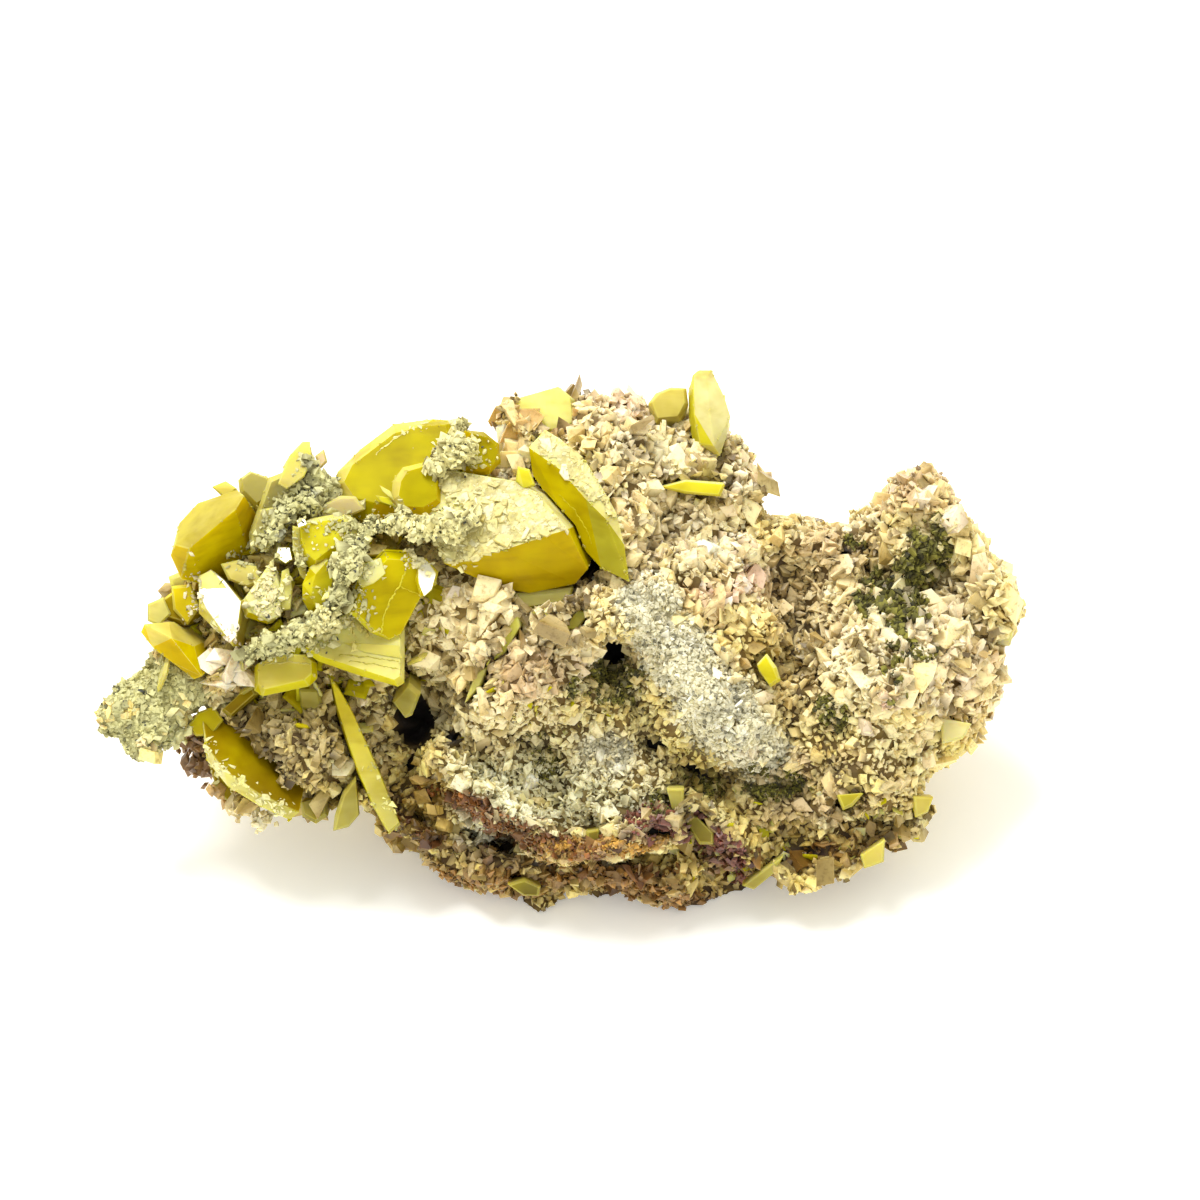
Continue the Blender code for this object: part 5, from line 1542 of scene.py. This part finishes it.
def inside_outline(flat, outline):
    """True where points of the plane are inside a closed outline."""
    answer = np.zeros(len(flat), bool)
    x, y = flat[:, 0], flat[:, 1]
    for (x0, y0), (x1, y1) in zip(outline, outline[1:] + outline[:1]):
        crosses = (y0 > y) != (y1 > y)
        if y0 != y1:
            answer ^= crosses & (x < (x1 - x0) * (y - y0) / (y1 - y0) + x0)
    return answer


def closed_quads(cells):
    """Faces over the cells of a grid that are filled: the top, the underside and the rim."""
    across, down = cells.shape[0] + 1, cells.shape[1] + 1
    under = across * down
    index = np.arange(under).reshape(across, down)
    filled = np.pad(cells, 1)
    quads = []
    for i, j in zip(*np.nonzero(cells)):
        a, b, c, d = index[i, j], index[i + 1, j], index[i + 1, j + 1], index[i, j + 1]
        quads += [(a, b, c, d), (d + under, c + under, b + under, a + under)]
        for x, y, e, f in ((1, 0, a, b), (2, 1, b, c), (1, 2, c, d), (0, 1, d, a)):
            if not filled[i + x, j + y]:
                quads.append((e, e + under, f + under, f))
    return quads


def crust(name, tree, outline, thick, seed):
    """A closed crust with ragged edges and small terraces, lying on the surface below it."""
    points = np.array(outline)
    low, high = points.min(axis=0) - 0.6, points.max(axis=0) + 0.6
    across, down = (np.ceil((high - low) / CRUST_CELL).astype(int) + 1)
    steps = np.stack(np.meshgrid(np.arange(across), np.arange(down), indexing="ij"), -1).reshape(-1, 2)
    grid = steps * CRUST_CELL + low
    spots = np.column_stack((grid, np.zeros(len(grid))))
    grid = grid + CRUST_CELL * 0.35 * wander(spots, 0.31, 1, seed + 5, seed + 9)
    inside = inside_outline(grid + wander(spots, 1.5, 3, seed, seed + 3) * 0.45, outline)
    heights = surface_height(tree, grid)
    keep = (inside & ~np.isnan(heights)).reshape(across, down)
    heights = np.nan_to_num(heights)
    terraces = np.floor(fractal(spots, 2.2, 3, seed + 21) * 3.0) / 3.0
    top = heights + thick * (0.6 + 0.5 * terraces) + CRUST_ROUGHNESS * 0.4 * fractal(spots, 0.5, 2, seed + 31)
    top = np.maximum(top, heights + 0.05)
    verts = np.concatenate([np.column_stack((grid, level)) for level in (top, heights - CRUST_SINK)])
    quads = closed_quads(keep[:-1, :-1] & keep[1:, :-1] & keep[:-1, 1:] & keep[1:, 1:])
    used, renumbered = np.unique(quads, return_inverse=True)
    piece = object_from(name, to_world(verts[used]), renumbered.reshape(-1, 4), CRUST_LOOK)
    pick = (fractal(verts[used], 0.9, 3, seed + 41) * 0.5 + 0.5) * len(CRUST_COLOURS)
    colours = CRUST_COLOURS[np.clip(pick.astype(int), 0, len(CRUST_COLOURS) - 1)]
    lift = np.concatenate((top - heights, np.zeros(len(top))))[used]
    set_tints(piece, np.clip(colours * (0.72 + 0.32 * smoothstep(0.0, thick, lift))[:, None], 0.01, 0.95))
    return piece


def points_on(co, normals, tris, count, rng):
    a, b, c = co[tris[:, 0]], co[tris[:, 1]], co[tris[:, 2]]
    area = np.linalg.norm(np.cross(b - a, c - a), axis=1)
    chosen = rng.choice(len(tris), count, p=area / area.sum())
    return (a[chosen] + b[chosen] + c[chosen]) / 3, normals[tris[chosen, 0]]


def crystal_crusts():
    """The crusts of CRUSTS, with loose flakes on their upper side."""
    rng = np.random.default_rng(41)
    shapes = grains(flake, 16, rng)
    for number, (node, outline, thick) in enumerate(CRUSTS):
        name = node.replace("wulfenite", "crust_on")
        co, normals, tris = mesh_arrays(crust(name, tree_of(node), outline, thick, 60 + number))
        upper = (to_face(co + normals)[:, 2] - to_face(co)[:, 2])[tris].min(axis=1) > 0.3
        count = int(FLAKES_PER_MM2 * len(tris[upper]) * CRUST_CELL ** 2 / 2)
        points, directions = points_on(co, normals, tris[upper], count, rng)
        half = 0.12 + 1.1 * rng.random(count) ** 3.5
        sizes = stretched(half, 0.7, 1.2, rng) * CRUST_FLAKE
        colours = CRUST_COLOURS[rng.integers(4, size=count)] * rng.uniform(0.80, 1.0, (count, 1))
        frames = random_frames(directions, 0.12, rng)
        scatter(name + "_flakes", shapes, points, frames, sizes, colours, CRUST_SCALE)


def outer_tree(bed, slabs):
    """The bed, the slabs and every solid but the host rock, which the bed replaces."""
    solids = [node for name, node in frame["nodes"].items() if name != "host_rock"]
    return tree_from([(bed.co, bed.tris)] + [surface_of(obj) for obj in solids + slabs])


# Loose scaly flakes lying on plates: u, v, radius, number, colour.
SCALES = (
    (-29.8, 5, 2.2, 60, CREAMY), (-20.6, 0.8, 1.8, 30, PALE_STRAW), (-19.8, 7.2, 1.2, 16, CREAMY),
    (-24.6, 4.4, 1.2, 16, PALE), (-15.6, 21.4, 1.5, 18, CREAMY), (-35.4, 1.6, 1.2, 18, CREAMY),
    (-35.9, -10.9, 0.9, 26, CREAMY), (-34.9, -12.8, 1, 34, CREAMY), (-33.2, -14.4, 1, 34, PALE),
    (-31.3, -15.8, 1.1, 36, CREAMY), (-29, -16.9, 1.1, 34, CREAMY), (-19.4, -12.6, 1.4, 14, PALE_OLIVE),
    (-17.8, -16.6, 1, 12, PALE),
)
LOWEST_SCALE, LOWEST_CRUMB = -8.0, -6.0  # heights w below which none lie


def scales(tree):
    """Flakes that lie flat on whatever is outermost where they are."""
    rng = np.random.default_rng(53)
    shapes = grains(flake, 12, rng)
    for number, (u, v, radius, count, colour) in enumerate(SCALES, 1):
        spots = rng.normal((u, v), radius * 0.55, (count, 2))
        heights, normals = first_hits(tree, spots)
        kept = heights > LOWEST_SCALE
        spots, heights, normals = spots[kept], heights[kept], normals[kept]
        half = 0.15 + 0.6 * rng.random(len(spots)) ** 2
        sizes = stretched(half, 0.7, 1.2, rng) * SCALE_FLAKE
        frames = random_frames(normals, 0.15, rng)
        colours = shades_of(colour, 0.75, 1.05, len(spots), rng)
        points = to_world(np.column_stack((spots, heights)))
        scatter(f"scales_{number}", shapes, points, frames, sizes, colours, PLATE_SCALE)


# Crumbs of the grey-green crust and dust lying on the cluster: zone (the half-widths are two standard
# deviations), number, largest half-size, colour.
CRUMBS = (
    (-26.8, 13.4, 2.4, 2.4, 20, 260, 0.4, GANGUE_GREY),
    (-29.6, 11.2, 1.3, 3.4, -25, 220, 0.36, GANGUE_GREY),
    (-22.4, 11.4, 2.4, 1.2, -10, 130, 0.34, GANGUE_GREY), (-17.4, 11.4, 3.6, 1.6, -5, 260, 0.4, GANGUE),
    (-12, 10.4, 3.2, 2.6, -20, 340, 0.42, GANGUE), (-10.6, 18.6, 2.4, 2.6, 0, 200, 0.38, GANGUE),
    (-21.6, 5.6, 1.6, 2.6, 20, 200, 0.36, GANGUE_GREY), (-23.6, 1.8, 3.2, 1.7, 30, 300, 0.36, GANGUE),
    (-28.6, -0.4, 4.2, 1.5, 12, 300, 0.36, GANGUE_GREY), (-31.6, 8.4, 2.6, 1, 10, 140, 0.3, GANGUE_GREY),
    (-27, 7.6, 0.9, 2.8, 0, 120, 0.3, GANGUE_GREY), (-34.4, 0, 1.6, 1.6, 0, 90, 0.3, QUARTZ),
    (-37.4, 4.2, 1, 2.6, 0, 90, 0.3, GREYISH), (-30, 4.6, 2, 2.6, 0, 150, 0.4, CREAMY_DUST),
    (-15, 8.2, 1.6, 1.4, 0, 110, 0.36, CREAMY_DUST), (-23.6, 9.6, 2.4, 1.4, 0, 16, 0.22, CREAMY_DUST),
)


def crumbs(tree):
    """Crumbs that lie on whatever of the cluster is outermost where they are; a few are dark."""
    rng = np.random.default_rng(61)
    shapes = grains(flake, 8, rng) + grains(block, 6, rng) + grains(splinter, 6, rng)
    for number, (u, v, ru, rv, turn, count, largest, colour) in enumerate(CRUMBS, 1):
        a = math.radians(turn)
        spots = rng.normal(0.0, 0.5, (count, 2)) * (ru, rv)
        spots = spots @ np.array(((math.cos(a), math.sin(a)), (-math.sin(a), math.cos(a)))) + (u, v)
        heights = surface_height(tree, spots)
        kept = heights > LOWEST_CRUMB
        spots, heights = spots[kept], heights[kept]
        half = 0.08 + largest * rng.random(len(spots)) ** 2.2
        points = to_world(np.column_stack((spots, heights + 0.2 * half)))
        colours = shades_of(colour, 0.7, 1.15, len(points), rng)
        darken_some(colours, half, 0.07, 0.15, 0.12, rng)
        scatter(f"crumbs_{number}", shapes, points, outward_frames(len(points), 0.5, rng),
                stretched(half, 0.6, 1.2, rng), colours, LOOSE_CRUST)


# ---------------------------------------------------------------- grey-green crust

GANGUE_VOXEL = 0.16
REMNANTS = (("gangue_ridge", 1500), ("gangue_cap", 400), ("gangue_left", 600))  # node and number of grains


def gangue_hue(points):
    """Cream at the right end of the ridge, grey-green towards the left, patchy all over."""
    face = to_face(points)
    grey = 0.9 * fractal(points, 1.8, 3, 63) + np.clip((-17.0 - face[:, 0]) / 9.0, -0.6, 0.8)
    grey += 0.9 * inside_zone(face, -31.0, 12.0, 6.0, 6.0, 0)
    hue = blend(np.array(GANGUE), GANGUE_GREY, smoothstep(-0.6, 0.6, grey)[:, None])
    return blend(hue, GANGUE_DARK, smoothstep(0.8, 2.0, grey)[:, None])


def gangue_crust(node):
    """The remnant, roughened and speckled; returns its points, their normals and its triangles."""
    co, normals, tris = melted(node, GANGUE_VOXEL)
    push = 0.65 * fractal(co, 2.2, 3, 51) + 0.20 * fractal(co, 0.6, 3, 57) - 0.3
    moved = co + normals * push[:, None]
    piece = object_from(node + "_crust", moved, tris, GANGUE_LOOK, smooth=True)
    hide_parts(node)
    # Painted shade in the pits.
    pit = np.sum((smoothed(moved, tris, 12) - moved) * normals, axis=1)
    shade = 0.95 + 0.30 * fractal(co, 0.8, 3, 61) - 0.75 * smoothstep(0.0, 0.18, pit)
    set_tints(piece, np.clip(gangue_hue(co) * shade[:, None], 0.02, 0.95))
    return moved, normals, tris


def gangue():
    """The crumbly crust left on the crystals, with grains on it; a few are dark."""
    rng = np.random.default_rng(31)
    shapes = grains(flake, 10, rng) + grains(block, 8, rng)
    for node, count in REMNANTS:
        points, directions = points_on(*gangue_crust(node), count, rng)
        half = 0.14 + 0.55 * rng.random(count) ** 2.5
        colours = gangue_hue(points) * rng.uniform(0.65, 1.2, (count, 1))
        darken_some(colours, half, 0.08, 0.12, 0.14, rng)
        scatter(node + "_grains", shapes, points, random_frames(directions, 0.6, rng),
                stretched(half, 0.6, 1.2, rng), colours, FIXED_CRUST)


# ---------------------------------------------------------------- floor, light, camera

FLOOR_HALF = 1.5  # metres
FLOOR_DROP = 0.05  # how far the floor lies under the rock, in millimetres
CAMERA_DISTANCE = 0.9  # metres
HALF_VIEW = 0.06  # half the width seen at the target, in metres
AIM = (3.0, 4.0, 0.0)  # what the camera looks at, on the display face


def floor():
    mat, tree, shader = shader_of("floor")
    tone = ramp(tree, noise(tree, 60.0, 2.0), (0.3, (0.94, 0.94, 0.935)), (0.7, (0.96, 0.96, 0.955)))
    set_inputs(tree, shader, Base_Color=tone, Roughness=0.9, Emission_Color=(1.0, 1.0, 0.98),
               Emission_Strength=0.22)
    mesh = bpy.data.meshes.new("floor")
    h = FLOOR_HALF
    corners = [(x, y, -FLOOR_DROP * MM) for x, y in ((-h, -h), (h, -h), (h, h), (-h, h))]
    mesh.from_pydata(corners, [], [(0, 1, 2, 3)])
    mesh.materials.append(mat)
    obj = bpy.data.objects.new("floor", mesh)
    bpy.context.scene.collection.objects.link(obj)


def aim(obj, position, target):
    """Puts a lamp or the camera at the position, facing the target."""
    obj.location = position
    obj.rotation_euler = (Vector(target) - Vector(position)).to_track_quat("-Z", "Y").to_euler()
    bpy.context.scene.collection.objects.link(obj)


def studio():
    """A pale floor, an even sky and one large lamp."""
    floor()
    scene = bpy.context.scene
    world = bpy.data.worlds.new("studio")
    scene.world = world
    world.use_nodes = True
    set_inputs(world.node_tree, world.node_tree.nodes["Background"], Color=(1.0, 0.985, 0.88), Strength=0.95)
    lamp = bpy.data.lights.new("key", "AREA")
    lamp.shape = "RECTANGLE"
    lamp.size = lamp.size_y = 0.40
    lamp.energy = 8.0
    aim(bpy.data.objects.new("key", lamp), (-0.20, 0.20, 0.83), (0, 0, 0.02))
    scene.view_settings.view_transform = "Standard"


def camera():
    data = bpy.data.cameras.new("camera")
    data.sensor_width = 36.0
    data.angle = 2 * math.atan(HALF_VIEW / CAMERA_DISTANCE)
    data.clip_start = 0.01
    obj = bpy.data.objects.new("camera", data)
    target = Vector(to_world(AIM) * MM)
    aim(obj, target + Vector((0.0, -math.cos(LEAN), math.sin(LEAN))) * CAMERA_DISTANCE, target)
    bpy.context.scene.camera = obj


camera()
studio()
rock = Bed()
druse(rock)
wulfenite()
crystal_crusts()
slabs = plates()
seams()
nicks()
outside = outer_tree(rock, slabs)
scales(outside)
crumbs(outside)
landmarks(rock)
knobs()
small_chips(rock)
gangue()
